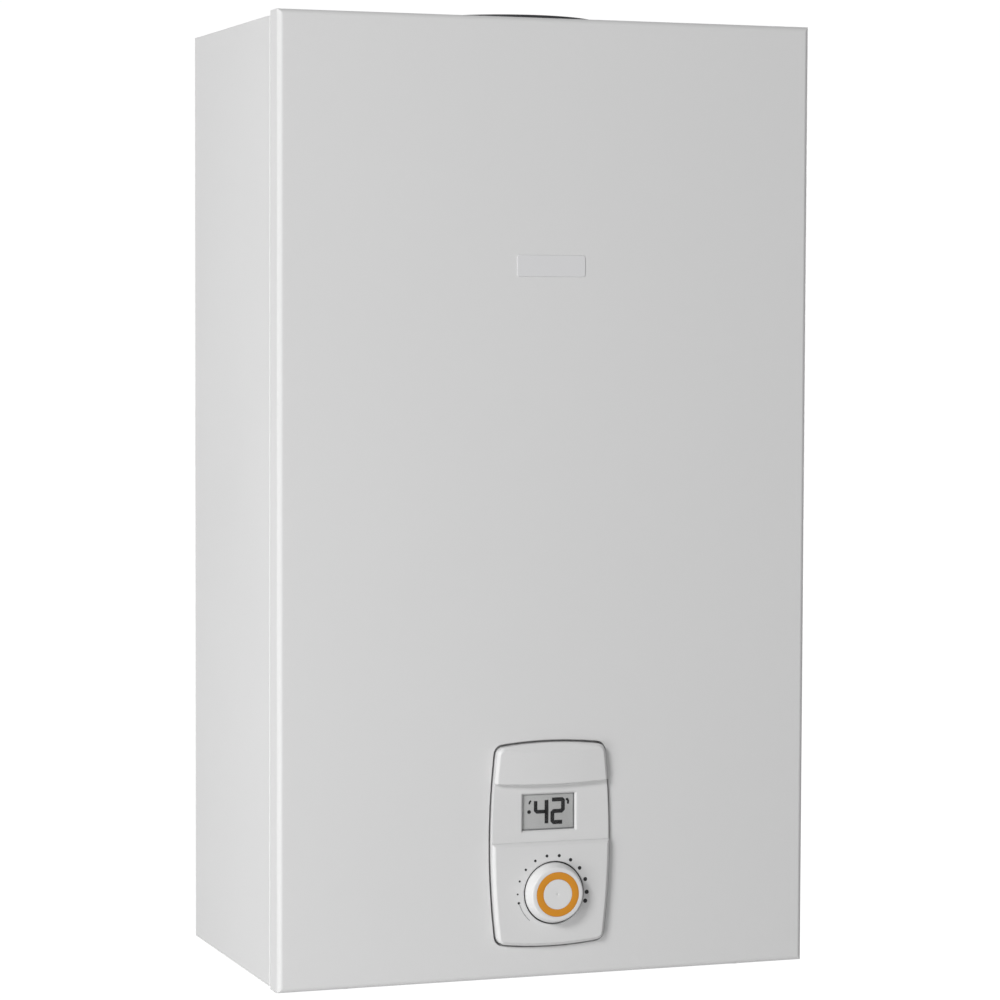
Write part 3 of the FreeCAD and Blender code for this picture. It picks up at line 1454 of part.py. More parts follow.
def electrics():
    """The ignition box, the thermostats and the leads."""
    box_front = back_face - S.ignition_depth
    box_left = -(wall_inside - S.ignition_side_gap)
    box_right = box_left + S.ignition_width
    ignition_high = S.ignition_low + S.ignition_height
    case = block((box_left, box_right), (box_front + S.ignition_lid, back_face),
                 (S.ignition_low, ignition_high))
    inset = S.ignition_lid_inset
    lid = block((box_left + inset, box_right - inset), (box_front, box_front + 2 * S.ignition_lid),
                (S.ignition_low + inset, ignition_high - inset))
    ear_x = (box_left + box_right) / 2
    ears = block((ear_x - S.ignition_ear_half, ear_x + S.ignition_ear_half),
                 (back_face - S.ignition_ear_thickness, back_face),
                 (S.ignition_low - S.ignition_ear, ignition_high + S.ignition_ear))
    piece("ignition_box", fuse(case, lid, ears))
    overheat_tip = thermostat("overheat_thermostat", shell_front,
                              coil_low + 3 * S.coil_rise + S.overheat_rise, 1)
    spill_tip = thermostat("spill_thermostat", hood_front, hood_low + S.spill_rise, -1)
    lead_y = (insulator_front + electrode_front) / 2
    leads = []
    routes = ((S.spark_lead_inset, S.spark_lead_up, electrode_places[0][0]),
              (S.flame_lead_inset, S.flame_lead_up, electrode_places[1][0]))
    for inset, up, electrode_x in routes:
        x = box_left + inset
        height = S.ignition_low + up
        end = electrode_x - S.electrode_radius - S.running_fit
        leads.append(lead(
            (x, box_front, height),
            (x, box_front - S.lead_straight, height),
            (x, lead_y, height + S.electrode_lead_rise),
            (end - S.lead_straight, lead_y, electrode_z),
            (end, lead_y, electrode_z)))
    harness_y = housing_front + S.housing_wall + 2 * S.lead_radius
    harness_x = box_left + S.harness_inset
    height = S.ignition_low + S.harness_up
    leads.append(lead(
        (-S.housing_half, harness_y, height - 2 * S.harness_rise),
        (-S.housing_half - S.lead_straight, harness_y, height - 2 * S.harness_rise),
        (harness_x, harness_y, height - S.harness_rise),
        (harness_x, box_front - S.lead_straight, height),
        (harness_x, box_front, height)))
    link_y = hood_front - S.thermostat_height + S.terminal_thickness / 2
    leads.append(hexagon("z", S.lead_radius, overheat_tip, spill_tip, (S.thermostat_across, link_y)))
    piece("leads", *leads)


casing()
control_unit()
flue_hood()
flue_collar()
exchanger()
burner()
electrodes()
gas_side()
water_side()
battery_box()
electrics()
doc.recompute()

faults = [f"{thing.Label} is {thing.State}" for thing in doc.Objects
          if {"Invalid", "Error"} & set(thing.State)]
for name, thing in pieces.items():
    if thing.Shape.isNull() or not thing.Shape.isValid() or not thing.Shape.Solids:
        faults.append(f"{name} has no valid solid")
if faults:
    raise ValueError("; ".join(faults))

os.makedirs("parts", exist_ok=True)
for name, thing in pieces.items():
    thing.Shape.exportStep(f"parts/{name}.step")
print(len(pieces), "pieces")
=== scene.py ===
import json
import math

import bmesh
import bpy
from mathutils import Matrix, Vector


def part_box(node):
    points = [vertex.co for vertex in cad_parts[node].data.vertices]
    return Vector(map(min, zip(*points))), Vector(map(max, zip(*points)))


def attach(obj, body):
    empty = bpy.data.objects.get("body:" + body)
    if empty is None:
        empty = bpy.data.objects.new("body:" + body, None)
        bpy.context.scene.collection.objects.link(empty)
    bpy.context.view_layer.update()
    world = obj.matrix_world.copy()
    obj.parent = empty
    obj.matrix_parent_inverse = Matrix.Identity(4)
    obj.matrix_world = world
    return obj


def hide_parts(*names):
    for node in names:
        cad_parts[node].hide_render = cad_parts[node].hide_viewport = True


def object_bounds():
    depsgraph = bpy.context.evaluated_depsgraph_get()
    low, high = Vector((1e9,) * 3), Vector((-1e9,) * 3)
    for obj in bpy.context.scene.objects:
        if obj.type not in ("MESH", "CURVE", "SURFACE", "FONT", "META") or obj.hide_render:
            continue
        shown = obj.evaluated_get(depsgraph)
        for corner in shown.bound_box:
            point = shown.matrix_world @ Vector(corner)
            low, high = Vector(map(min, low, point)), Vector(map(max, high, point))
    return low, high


# The looks of a wall-hung gas water heater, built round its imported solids.
# Lengths in the tables below are millimetres: x to the right, y into the wall, and h above the casing's
# lower edge. The row frame is in metres, with its origin on the wall between the two hanging screws.

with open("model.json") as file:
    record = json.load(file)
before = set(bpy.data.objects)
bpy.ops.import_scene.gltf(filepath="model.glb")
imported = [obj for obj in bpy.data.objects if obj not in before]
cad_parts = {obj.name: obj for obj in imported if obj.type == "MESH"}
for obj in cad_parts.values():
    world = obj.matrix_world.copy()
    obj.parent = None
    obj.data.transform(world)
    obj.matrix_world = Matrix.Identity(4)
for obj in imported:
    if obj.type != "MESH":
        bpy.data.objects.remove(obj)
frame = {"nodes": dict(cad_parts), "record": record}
cad_low, cad_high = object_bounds()
nodes = frame["nodes"]

MM = 0.001
HANG_HEIGHT = 505


def at(x, y, h):
    """A place in the row frame, in metres."""
    return Vector((x, y, h - HANG_HEIGHT)) * MM


def box(name):
    """The low and the high corner of a node's box in the row frame, in millimetres."""
    return [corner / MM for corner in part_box(name)]


# Node building

def feed(tree, node, inputs):
    """Links a node's inputs, or sets them to plain values, by name or number."""
    for key, value in inputs.items():
        if isinstance(value, bpy.types.NodeSocket):
            tree.links.new(value, node.inputs[key])
        else:
            node.inputs[key].default_value = value


def new_node(tree, kind, inputs=(), **settings):
    """A node with its settings and its inputs."""
    node = tree.nodes.new(kind)
    for name, value in settings.items():
        setattr(node, name, value)
    feed(tree, node, dict(inputs))
    return node


def spaced(values):
    """Keywords as the names of sockets, which have spaces."""
    return {name.replace("_", " "): value for name, value in values.items()}


class Finish:
    """A material and its node tree, with one Principled shader."""

    def __init__(self, name):
        self.material = bpy.data.materials.new(name)
        self.material.use_nodes = True
        self.tree = self.material.node_tree
        self.shader = self.tree.nodes["Principled BSDF"]
        self.place = self.add("ShaderNodeTexCoord").outputs["Object"]

    def add(self, kind, inputs=(), **settings):
        """A node of this material."""
        return new_node(self.tree, kind, inputs, **settings)

    def group(self, tree, **values):
        """The outputs of a shared node group with its own values."""
        return self.add("ShaderNodeGroup", spaced(values), node_tree=tree).outputs

    def mix(self, share, plain, other):
        """A colour between two others."""
        return self.add("ShaderNodeMix", {"Factor": share, 6: plain, 7: other}, data_type="RGBA").outputs[2]

    def bump(self, height, depth, normal):
        """A normal that a height disturbs, with its depth in metres."""
        return self.add("ShaderNodeBump", {
            "Strength": 1.0, "Distance": depth, "Height": height, "Normal": normal}).outputs["Normal"]

    def look(self, **values):
        """Feeds the shader's sockets."""
        feed(self.tree, self.shader, spaced(values))
        return self.material


def node_group(name, inputs, outputs):
    """A shader node group with named sockets: the tree, what it is given, and its end."""
    tree = bpy.data.node_groups.new(name, "ShaderNodeTree")
    for label, kind, value in inputs:
        socket = tree.interface.new_socket(label, in_out="INPUT", socket_type=kind)
        if value is not None:
            socket.default_value = value
    for label, kind in outputs:
        tree.interface.new_socket(label, in_out="OUTPUT", socket_type=kind)
    return tree, tree.nodes.new("NodeGroupInput").outputs, tree.nodes.new("NodeGroupOutput")


def noise(tree, place, scale, detail):
    """A noise texture over a place."""
    node = new_node(tree, "ShaderNodeTexNoise", {"Vector": place, "Scale": scale, "Detail": detail})
    return node.outputs["Fac"]


def between(tree, value, low, high):
    """Maps 0 to 1 onto two limits."""
    node = new_node(tree, "ShaderNodeMapRange", {"Value": value, "To Min": low, "To Max": high})
    return node.outputs["Result"]


def colour_tint(tree, base, value, amount):
    """Brightens or darkens a colour by a value round 0.5."""
    node = new_node(tree, "ShaderNodeHueSaturation", {
        "Value": between(tree, value, 1 - amount, 1 + amount), "Color": base})
    return node.outputs["Color"]


def opaque(colour, brighter=1.0):
    """A colour with full cover, made brighter where that is asked."""
    return (*[min(1.0, channel * brighter) for channel in colour], 1.0)


def make_edge_group():
    """Rounds sharp edges in the shading, and masks where they are."""
    tree, given, end = node_group(
        "rounded_edges",
        [("Radius", "NodeSocketFloat", 0.0005)],
        [("Normal", "NodeSocketVector"), ("Edge", "NodeSocketFloat")])
    soft = new_node(tree, "ShaderNodeBevel", {"Radius": given["Radius"]}, samples=6).outputs["Normal"]
    plain = new_node(tree, "ShaderNodeNewGeometry").outputs["Normal"]
    agreement = new_node(tree, "ShaderNodeVectorMath", {0: soft, 1: plain}, operation="DOT_PRODUCT")
    mask = new_node(tree, "ShaderNodeMapRange", {
        "Value": agreement.outputs["Value"], "From Min": 1.0, "From Max": 0.75})
    feed(tree, end, {"Normal": soft, "Edge": mask.outputs["Result"]})
    return tree


def make_grain_group():
    """The height of a fine grain, and a slow variation over the whole piece."""
    tree, given, end = node_group(
        "fine_grain",
        [("Place", "NodeSocketVector", None), ("Scale", "NodeSocketFloat", 900.0),
         ("Slow Scale", "NodeSocketFloat", 9.0)],
        [("Height", "NodeSocketFloat"), ("Slow", "NodeSocketFloat")])
    feed(tree, end, {"Height": noise(tree, given["Place"], given["Scale"], 3.0),
                     "Slow": noise(tree, given["Place"], given["Slow Scale"], 2.0)})
    return tree


def make_brushed_group():
    """Long fine scratches along one axis, as drawn or brushed metal has."""
    tree, given, end = node_group(
        "brushed_lines",
        [("Place", "NodeSocketVector", None), ("Stretch", "NodeSocketVector", (1.0, 1.0, 1.0)),
         ("Scale", "NodeSocketFloat", 400.0)],
        [("Height", "NodeSocketFloat")])
    stretched = new_node(tree, "ShaderNodeVectorMath", {0: given["Place"], 1: given["Stretch"]},
                         operation="MULTIPLY")
    feed(tree, end, {"Height": noise(tree, stretched.outputs["Vector"], given["Scale"], 4.0)})
    return tree


EDGES = make_edge_group()
GRAIN = make_grain_group()
BRUSHED = make_brushed_group()


# Materials

def coated(name, colour, roughness, grain_scale, grain_depth, tint, edge_radius=0.0006, coat=0.0, wear=0.0):
    """Paint, enamel or moulded plastic: a fine grain, a slow tint, and edges that may be a little worn."""
    finish = Finish(name)
    tree = finish.tree
    grain = finish.group(GRAIN, Place=finish.place, Scale=grain_scale)
    edges = finish.group(EDGES, Radius=edge_radius)
    base = colour_tint(tree, opaque(colour), grain["Slow"], tint)
    return finish.look(
        Base_Color=finish.mix(between(tree, edges["Edge"], 0.0, wear), base, opaque(colour, 1.15)),
        Roughness=between(tree, grain["Slow"], roughness - 0.05, roughness + 0.05),
        Normal=finish.bump(grain["Height"], grain_depth, edges["Normal"]),
        Coat_Weight=coat, Coat_Roughness=0.12)


def metal(name, colour, roughness, stretch, tint, edge_radius=0.0003, line_depth=0.00001):
    """Bare metal with drawn lines, a slow change of tone, and brighter edges."""
    finish = Finish(name)
    tree = finish.tree
    slow = finish.group(GRAIN, Place=finish.place, Slow_Scale=22.0)["Slow"]
    lines = finish.group(BRUSHED, Place=finish.place, Stretch=stretch)["Height"]
    edges = finish.group(EDGES, Radius=edge_radius)
    base = colour_tint(tree, colour_tint(tree, opaque(colour), slow, tint), lines, tint)
    return finish.look(
        Base_Color=finish.mix(between(tree, edges["Edge"], 0.0, 0.5), base, opaque(colour, 1.3)),
        Roughness=between(tree, lines, roughness - 0.08, roughness + 0.08),
        Metallic=1.0, Normal=finish.bump(lines, line_depth, edges["Normal"]))


def heated_copper():
    """Drawn copper that the fire below has darkened and reddened from its foot upwards."""
    finish = Finish("heated_copper")
    tree = finish.tree
    slow = finish.group(GRAIN, Place=finish.place, Slow_Scale=16.0)["Slow"]
    lines = finish.group(BRUSHED, Place=finish.place, Stretch=(1.0, 1.0, 0.04), Scale=1500.0)["Height"]
    edges = finish.group(EDGES, Radius=0.0003)
    height = finish.add("ShaderNodeSeparateXYZ", {"Vector": finish.place}).outputs["Z"]
    heat = finish.add("ShaderNodeMapRange", {
        "Value": height, "From Min": -0.29, "From Max": -0.17, "To Min": 0.62, "To Max": 0.0})
    uneven = finish.add("ShaderNodeMath", {0: heat.outputs["Result"], 1: between(tree, slow, 0.4, 1.7)},
                        operation="MULTIPLY", use_clamp=True)
    fresh = colour_tint(tree, (0.74, 0.36, 0.24, 1.0), slow, 0.1)
    tinted = finish.mix(uneven.outputs[0], fresh, (0.3, 0.12, 0.09, 1.0))
    return finish.look(
        Base_Color=colour_tint(tree, tinted, lines, 0.05),
        Roughness=between(tree, lines, 0.26, 0.4),
        Metallic=1.0, Normal=finish.bump(lines, 0.000006, edges["Normal"]))


def spangled_zinc():
    """Galvanised sheet: crystals of zinc, each with its own tone and gloss."""
    finish = Finish("galvanised_sheet")
    tree = finish.tree
    cells = finish.add("ShaderNodeTexVoronoi", {"Vector": finish.place, "Scale": 130.0})
    split = finish.add("ShaderNodeSeparateColor", {"Color": cells.outputs["Color"]}).outputs
    edges = finish.group(EDGES, Radius=0.0003)
    return finish.look(
        Base_Color=colour_tint(tree, (0.62, 0.63, 0.64, 1.0), split["Red"], 0.12),
        Roughness=between(tree, split["Green"], 0.32, 0.5),
        Metallic=1.0, Normal=edges["Normal"])


def clear_window():
    """A thin clear plate, a little uneven in its gloss."""
    finish = Finish("clear_window")
    grain = finish.group(GRAIN, Place=finish.place, Scale=60.0)
    return finish.look(Base_Color=(0.05, 0.052, 0.05, 1.0), Alpha=0.12,
                       Roughness=between(finish.tree, grain["Height"], 0.04, 0.1))


# A coated finish has its colour, roughness, grain scale, grain depth and tint, and some have their edge
# radius and coat. A metal has its colour, roughness, the stretch of its lines and tint, and one has its edge
# radius and the depth of its lines. Depths and radii are in metres.
MATERIALS = {
    "casing_white": coated("casing_enamel", (0.80, 0.80, 0.80), 0.46, 700.0, 0.000012, 0.008, 0.0008, 0.05),
    "galvanised": spangled_zinc(),
    "panel_white": coated("panel_plastic", (0.79, 0.79, 0.79), 0.38, 2600.0, 0.000006, 0.006, 0.0012),
    "knob_white": coated("knob_plastic", (0.83, 0.83, 0.83), 0.34, 2600.0, 0.000005, 0.006, 0.0004),
    "orange": coated("ring_orange", (0.76, 0.3, 0.015), 0.42, 2400.0, 0.000004, 0.03, 0.0003),
    "bare_plate": coated("bare_plate", (0.79, 0.79, 0.80), 0.36, 2000.0, 0.000004, 0.006, 0.0004),
    "window": clear_window(),
    "lcd": coated("display_grey", (0.80, 0.805, 0.80), 0.5, 5200.0, 0.000002, 0.03),
    "board_green": coated("circuit_lacquer", (0.03, 0.16, 0.07), 0.3, 1200.0, 0.00002, 0.12),
    "black_plastic": coated("black_plastic", (0.022, 0.022, 0.024), 0.42, 2200.0, 0.00001, 0.2),
    "grey_plastic": coated("grey_plastic", (0.36, 0.37, 0.38), 0.46, 2200.0, 0.00001, 0.05),
    "copper": heated_copper(),
    "brass": metal("turned_brass", (0.74, 0.56, 0.28), 0.3, (0.2, 0.2, 1.0), 0.08),
    "stainless": metal("stainless_sheet", (0.56, 0.56, 0.57), 0.3, (1.0, 0.05, 1.0), 0.06),
    "flue_dark": coated("dark_flue_coat", (0.05, 0.05, 0.055), 0.55, 1300.0, 0.00003, 0.25, wear=0.3),
    "cast_alloy": metal("cast_alloy", (0.62, 0.63, 0.64), 0.5, (1.0, 1.0, 1.0), 0.05, 0.0008, 0.00006),
    "ceramic": coated("glazed_ceramic", (0.82, 0.80, 0.74), 0.16, 500.0, 0.00001, 0.04, coat=0.5),
    "lead_jacket": coated("lead_jacket", (0.03, 0.03, 0.032), 0.5, 1800.0, 0.00002, 0.2),
    "battery_cell": coated("battery_jacket", (0.12, 0.13, 0.15), 0.34, 900.0, 0.000008, 0.1, coat=0.4),
    "screw_steel": metal("zinc_screw", (0.6, 0.6, 0.61), 0.32, (1.0, 1.0, 0.3), 0.06),
}
slot_of = {part["node"]: part["material_slot"] for part in frame["record"]["subparts"]}
for name, node in nodes.items():
    node.data.materials.clear()
    node.data.materials.append(MATERIALS[slot_of[name]])

# Printed black on the display and on the dial
INK = coated("printed_black", (0.022, 0.022, 0.024), 0.5, 3000.0, 0.000002, 0.1, 0.00002)


# Mesh building

def finished(name, mesh, body, slot, material=None, smooth=True):
    """Makes a mesh a finished piece of the heater: its material, taken from its slot unless one is given, and
    the body it rides on.
    """
    piece = bpy.data.objects.new(name, mesh)
    bpy.context.scene.collection.objects.link(piece)
    mesh.materials.clear()
    mesh.materials.append(material or MATERIALS[slot])
    for face in mesh.polygons:
        face.use_smooth = smooth
    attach(piece, body)
    return piece


def from_bmesh(name, shape):
    """A mesh of a bmesh, with its faces turned outwards."""
    bmesh.ops.remove_doubles(shape, verts=shape.verts, dist=1e-7)
    bmesh.ops.recalc_face_normals(shape, faces=shape.faces)
    mesh = bpy.data.meshes.new(name)
    shape.to_mesh(mesh)
    shape.free()
    return mesh


def shaped(name, shape, body, slot, material=None, smooth=True):
    """A finished piece of a bmesh."""
    return finished(name, from_bmesh(name, shape), body, slot, material, smooth)


def soften(piece, angle=40):
    """Smooth shading that keeps edges sharper than the angle."""
    mesh = piece.data
    shape = bmesh.new()
    shape.from_mesh(mesh)
    for edge in shape.edges:
        if len(edge.link_faces) == 2 and edge.calc_face_angle(0) > math.radians(angle):
            edge.smooth = False
    shape.to_mesh(mesh)
    shape.free()


def neighbours(ring):
    """Each member of a closed ring with the next one."""
    return zip(ring, ring[1:] + ring[:1])


def join_rings(shape, rings):
    """Faces from each ring of vertices to the next one. A ring may also be one vertex."""
    steps = max(len(ring) for ring in rings)
    for near, far in zip(rings, rings[1:]):
        for number in range(steps):
            after = (number + 1) % steps
            corners = [near[number % len(near)], near[after % len(near)],
                       far[after % len(far)], far[number % len(far)]]
            corners = list(dict.fromkeys(corners))
            if len(corners) > 2:
                shape.faces.new(corners)


def turned(profile, centre, steps, upright=False):
    """A bmesh of a profile, as (radius, place on the axis), turned round an axis along y or upwards."""
    shape = bmesh.new()
    rings = []
    for radius, along in profile:
        ring = []
        for number in range(steps if radius else 1):
            angle = 2 * math.pi * number / steps
            across, other = centre[0] + radius * math.cos(angle), centre[1] + radius * math.sin(angle)
            place = at(across, other, along) if upright else at(across, along, other)
            ring.append(shape.verts.new(place))
        rings.append(ring)
    join_rings(shape, rings)
    return shape


def rounded(corners, radius, steps=6):
    """Replaces each inner corner of an open profile by a short curve."""
    line = [Vector(corners[0])]
    for before, corner, after in zip(corners, corners[1:], corners[2:]):
        before, corner, after = Vector(before), Vector(corner), Vector(after)
        reach = min(radius, (before - corner).length / 2.2, (after - corner).length / 2.2)
        start = corner + (before - corner).normalized() * reach
        end = corner + (after - corner).normalized() * reach
        for number in range(steps + 1):
            share = number / steps
            line.append(start.lerp(corner, share).lerp(corner.lerp(end, share), share))
    line.append(Vector(corners[-1]))
    return line


# Geometry Nodes

def geometry_tree(name, inputs):
    """A Geometry Nodes tree with named inputs, the last one its finish: the tree, and what it is given."""
    tree = bpy.data.node_groups.new(name, "GeometryNodeTree")
    for label, kind in {"Geometry": "Geometry", **inputs, "Finish": "Material"}.items():
        tree.interface.new_socket(label, in_out="INPUT", socket_type="NodeSocket" + kind)
    tree.interface.new_socket("Geometry", in_out="OUTPUT", socket_type="NodeSocketGeometry")
    return tree, tree.nodes.new("NodeGroupInput").outputs


def dressed(tree, made, given):
    """Ends a tree: what it made becomes real geometry and gets its finish."""
    real = new_node(tree, "GeometryNodeRealizeInstances", {0: made})
    dress = new_node(tree, "GeometryNodeSetMaterial", {
        "Geometry": real.outputs[0], "Material": given["Finish"]})
    new_node(tree, "NodeGroupOutput", {"Geometry": dress.outputs["Geometry"]})
    return tree


def made_by(tree, source, **values):
    """Runs a tree on an object's data, and returns the plain mesh that it makes."""
    carrier = bpy.data.objects.new("carrier", source)
    bpy.context.scene.collection.objects.link(carrier)
    modifier = carrier.modifiers.new("made", "NODES")
    modifier.node_group = tree
    for socket in tree.interface.items_tree:
        label = socket.name.replace(" ", "_")
        if socket.in_out == "INPUT" and label in values:
            modifier[socket.identifier] = values[label]
    ready = carrier.evaluated_get(bpy.context.evaluated_depsgraph_get())
    mesh = bpy.data.meshes.new_from_object(ready)
    bpy.data.objects.remove(carrier)
    return mesh


def bent_pipe_tree():
    """A pipe that follows a line of straight runs, with each corner turned round one bend."""
    tree, given = geometry_tree("bent_pipe", {"Pipe Radius": "Float", "Bend Radius": "Float", "Sides": "Int"})
    fillet = new_node(tree, "GeometryNodeFilletCurve", {
        "Curve": given["Geometry"], "Radius": given["Bend Radius"], "Count": 8, "Limit Radius": True},
        mode="POLY")
    section = new_node(tree, "GeometryNodeCurvePrimitiveCircle", {
        "Radius": given["Pipe Radius"], "Resolution": given["Sides"]})
    sweep = new_node(tree, "GeometryNodeCurveToMesh", {
        "Curve": fillet.outputs["Curve"], "Profile Curve": section.outputs["Curve"], "Fill Caps": True})
    smooth = new_node(tree, "GeometryNodeSetShadeSmooth", {0: sweep.outputs["Mesh"]})
    return dressed(tree, smooth.outputs[0], given)


def places_tree():
    """Puts a fastener at each place, turned about the x axis."""
    tree, given = geometry_tree("fasteners_at_places", {"Fastener": "Object", "Turn": "Float"})
    source = new_node(tree, "GeometryNodeObjectInfo", {"Object": given["Fastener"]})
    turn = new_node(tree, "ShaderNodeCombineXYZ", {"X": given["Turn"]})
    places = new_node(tree, "GeometryNodeMeshToPoints", {"Mesh": given["Geometry"]})
    put = new_node(tree, "GeometryNodeInstanceOnPoints", {
        "Points": places.outputs["Points"], "Instance": source.outputs["Geometry"],
        "Rotation": turn.outputs["Vector"]})
    return dressed(tree, put.outputs["Instances"], given)


def thread_tree():
    """A thread's ridge, wound up a round neck."""
    tree, given = geometry_tree("screw_thread", {
        "Radius": "Float", "Pitch": "Float", "Turns": "Float", "Ridge": "Float"})
    rise = new_node(tree, "ShaderNodeMath", {0: given["Pitch"], 1: given["Turns"]}, operation="MULTIPLY")
    helix = new_node(tree, "GeometryNodeCurveSpiral", {
        "Resolution": 40, "Rotations": given["Turns"], "Start Radius": given["Radius"],
        "End Radius": given["Radius"], "Height": rise.outputs[0]})
    ridge = new_node(tree, "GeometryNodeCurvePrimitiveCircle", {"Radius": given["Ridge"], "Resolution": 4})
    sweep = new_node(tree, "GeometryNodeCurveToMesh", {
        "Curve": helix.outputs["Curve"], "Profile Curve": ridge.outputs["Curve"], "Fill Caps": True})
    return dressed(tree, sweep.outputs["Mesh"], given)


def dial_tree():
    """Printed dots along an arc, growing from the first to the last."""
    tree, given = geometry_tree("dial_dots", {
        "Radius": "Float", "Start": "Float", "Sweep": "Float", "Count": "Int",
        "First Size": "Float", "Last Size": "Float", "Depth": "Float"})
    arc = new_node(tree, "GeometryNodeCurveArc", {
        "Resolution": 128, "Radius": given["Radius"], "Start Angle": given["Start"],
        "Sweep Angle": given["Sweep"]})
    points = new_node(tree, "GeometryNodeCurveToPoints", {
        "Curve": arc.outputs["Curve"], "Count": given["Count"]})
    dot = new_node(tree, "GeometryNodeMeshCylinder", {"Vertices": 24, "Radius": 1.0})
    index = new_node(tree, "GeometryNodeInputIndex")
    last = new_node(tree, "ShaderNodeMath", {0: given["Count"], 1: 1.0}, operation="SUBTRACT")
    size = new_node(tree, "ShaderNodeMapRange", {
        "Value": index.outputs[0], "From Max": last.outputs[0],
        "To Min": given["First Size"], "To Max": given["Last Size"]}).outputs["Result"]
    flat = new_node(tree, "ShaderNodeCombineXYZ", {"X": size, "Y": size, "Z": given["Depth"]})
    put = new_node(tree, "GeometryNodeInstanceOnPoints", {
        "Points": points.outputs["Points"], "Instance": dot.outputs["Mesh"], "Scale": flat.outputs["Vector"]})
    return dressed(tree, put.outputs["Instances"], given)


BENT_PIPE = bent_pipe_tree()
AT_PLACES = places_tree()


# Pipes and leads

def pipe(name, slot, radius, bend, runs, replaces, sides=32):
    """One or more bent pipes on the chassis, as one piece."""
    shape = bmesh.new()
    for run in runs:
        line = bpy.data.curves.new("route", "CURVE")
        line.dimensions = "3D"
        spline = line.splines.new("POLY")
        spline.points.add(len(run) - 1)
        for point, place in zip(spline.points, run):
            point.co = (*at(*place), 1.0)
        mesh = made_by(BENT_PIPE, line, Pipe_Radius=radius * MM, Bend_Radius=bend * MM,
                       Sides=sides, Finish=MATERIALS[slot])
        shape.from_mesh(mesh)
    piece = shaped(name, shape, "chassis", slot)
    soften(piece)
    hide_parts(replaces)


HOT_X, GAS_X, COLD_X = -70, 0, 70
CONNECTION_Y = -50
CONNECTIONS = {"hot_outlet_fitting": HOT_X, "gas_inlet_fitting": GAS_X, "cold_inlet_fitting": COLD_X}
TUBE_RADIUS, TUBE_END, TUBE_HEIGHT = 8, 122, 374
TUBE_FRONT, TUBE_PITCH = -134, 30
TUBES = [TUBE_FRONT + number * TUBE_PITCH for number in range(3)]
BEND_END = TUBE_END + TUBE_PITCH / 2
WATER_RADIUS, WATER_BEND = 6.5, 16
COIL_X, COIL_FRONT, COIL_BACK = 124, -169, -39
COIL_FOOT, COIL_START, COIL_STEP = 205, 262, 9
RISER_X = 144
GAS_RADIUS, GAS_BEND = 6, 11
GAS_FRONT, GAS_BACK, GAS_HEIGHT = -171.5, -74, 156
LEAD_RADIUS, LEAD_BEND, LEAD_SIDES = 1.6, 9, 16

pipe("smooth_tubes", "copper", TUBE_RADIUS, 1,
     [[(-TUBE_END, y, TUBE_HEIGHT), (TUBE_END, y, TUBE_HEIGHT)] for y in TUBES], "exchanger_tubes")
pipe("smooth_return_bends", "copper", TUBE_RADIUS, TUBE_PITCH / 2, [
    [(side * TUBE_END, y, TUBE_HEIGHT), (side * BEND_END, y, TUBE_HEIGHT),
     (side * BEND_END, y + TUBE_PITCH, TUBE_HEIGHT), (side * TUBE_END, y + TUBE_PITCH, TUBE_HEIGHT)]
    for side, y in ((-1, TUBES[0]), (1, TUBES[1]))], "return_bends")
pipe("smooth_jacket_coil", "copper", WATER_RADIUS, WATER_BEND, [[
    (COIL_X, COIL_BACK, COIL_FOOT), (COIL_X, COIL_BACK, COIL_START),
    (-COIL_X, COIL_BACK, COIL_START + COIL_STEP), (-COIL_X, COIL_FRONT, COIL_START + 2 * COIL_STEP),
    (RISER_X, COIL_FRONT, COIL_START + 3 * COIL_STEP), (RISER_X, TUBES[0], TUBE_HEIGHT),
    (TUBE_END, TUBES[0], TUBE_HEIGHT)]], "jacket_coil")
pipe("smooth_hot_pipe", "copper", WATER_RADIUS, WATER_BEND, [[
    (-TUBE_END, TUBES[2], TUBE_HEIGHT), (-RISER_X, TUBES[2], TUBE_HEIGHT), (-RISER_X, -62, 112),
    (HOT_X, CONNECTION_Y, 84), (HOT_X, CONNECTION_Y, 62)]], "hot_pipe")
pipe("smooth_cold_pipe", "copper", WATER_RADIUS, WATER_BEND, [[
    (COLD_X, CONNECTION_Y, 128), (COLD_X, CONNECTION_Y, 148), (COIL_X, COIL_BACK, 160),
    (COIL_X, COIL_BACK, COIL_FOOT)]], "cold_pipe")
pipe("smooth_gas_pipe", "cast_alloy", GAS_RADIUS, GAS_BEND, [[
    (GAS_X, GAS_BACK, 113), (GAS_X, GAS_BACK, GAS_HEIGHT), (GAS_X, GAS_FRONT, GAS_HEIGHT),
    (GAS_X, GAS_FRONT, 174)]], "gas_pipe")
# A spark lead and a flame lead to the electrodes, the control panel's lead, and one between the thermostats
pipe("smooth_leads", "lead_jacket", LEAD_RADIUS, LEAD_BEND, [
    [(-126, -34, 185), (-126, -46, 185), (-126, -176, 206), (-42.85, -176, 240), (-30.85, -176, 240)],
    [(-118, -34, 175), (-118, -46, 175), (-118, -176, 196), (17.15, -176, 240), (29.15, -176, 240)],
    [(-41, -172.8, 120), (-53, -172.8, 120), (-130, -172.8, 135), (-130, -46, 150), (-130, -34, 150)],
    [(56, -168.2, 345), (56, -168.2, 437)]], "leads", LEAD_SIDES)


# Screws and rivets

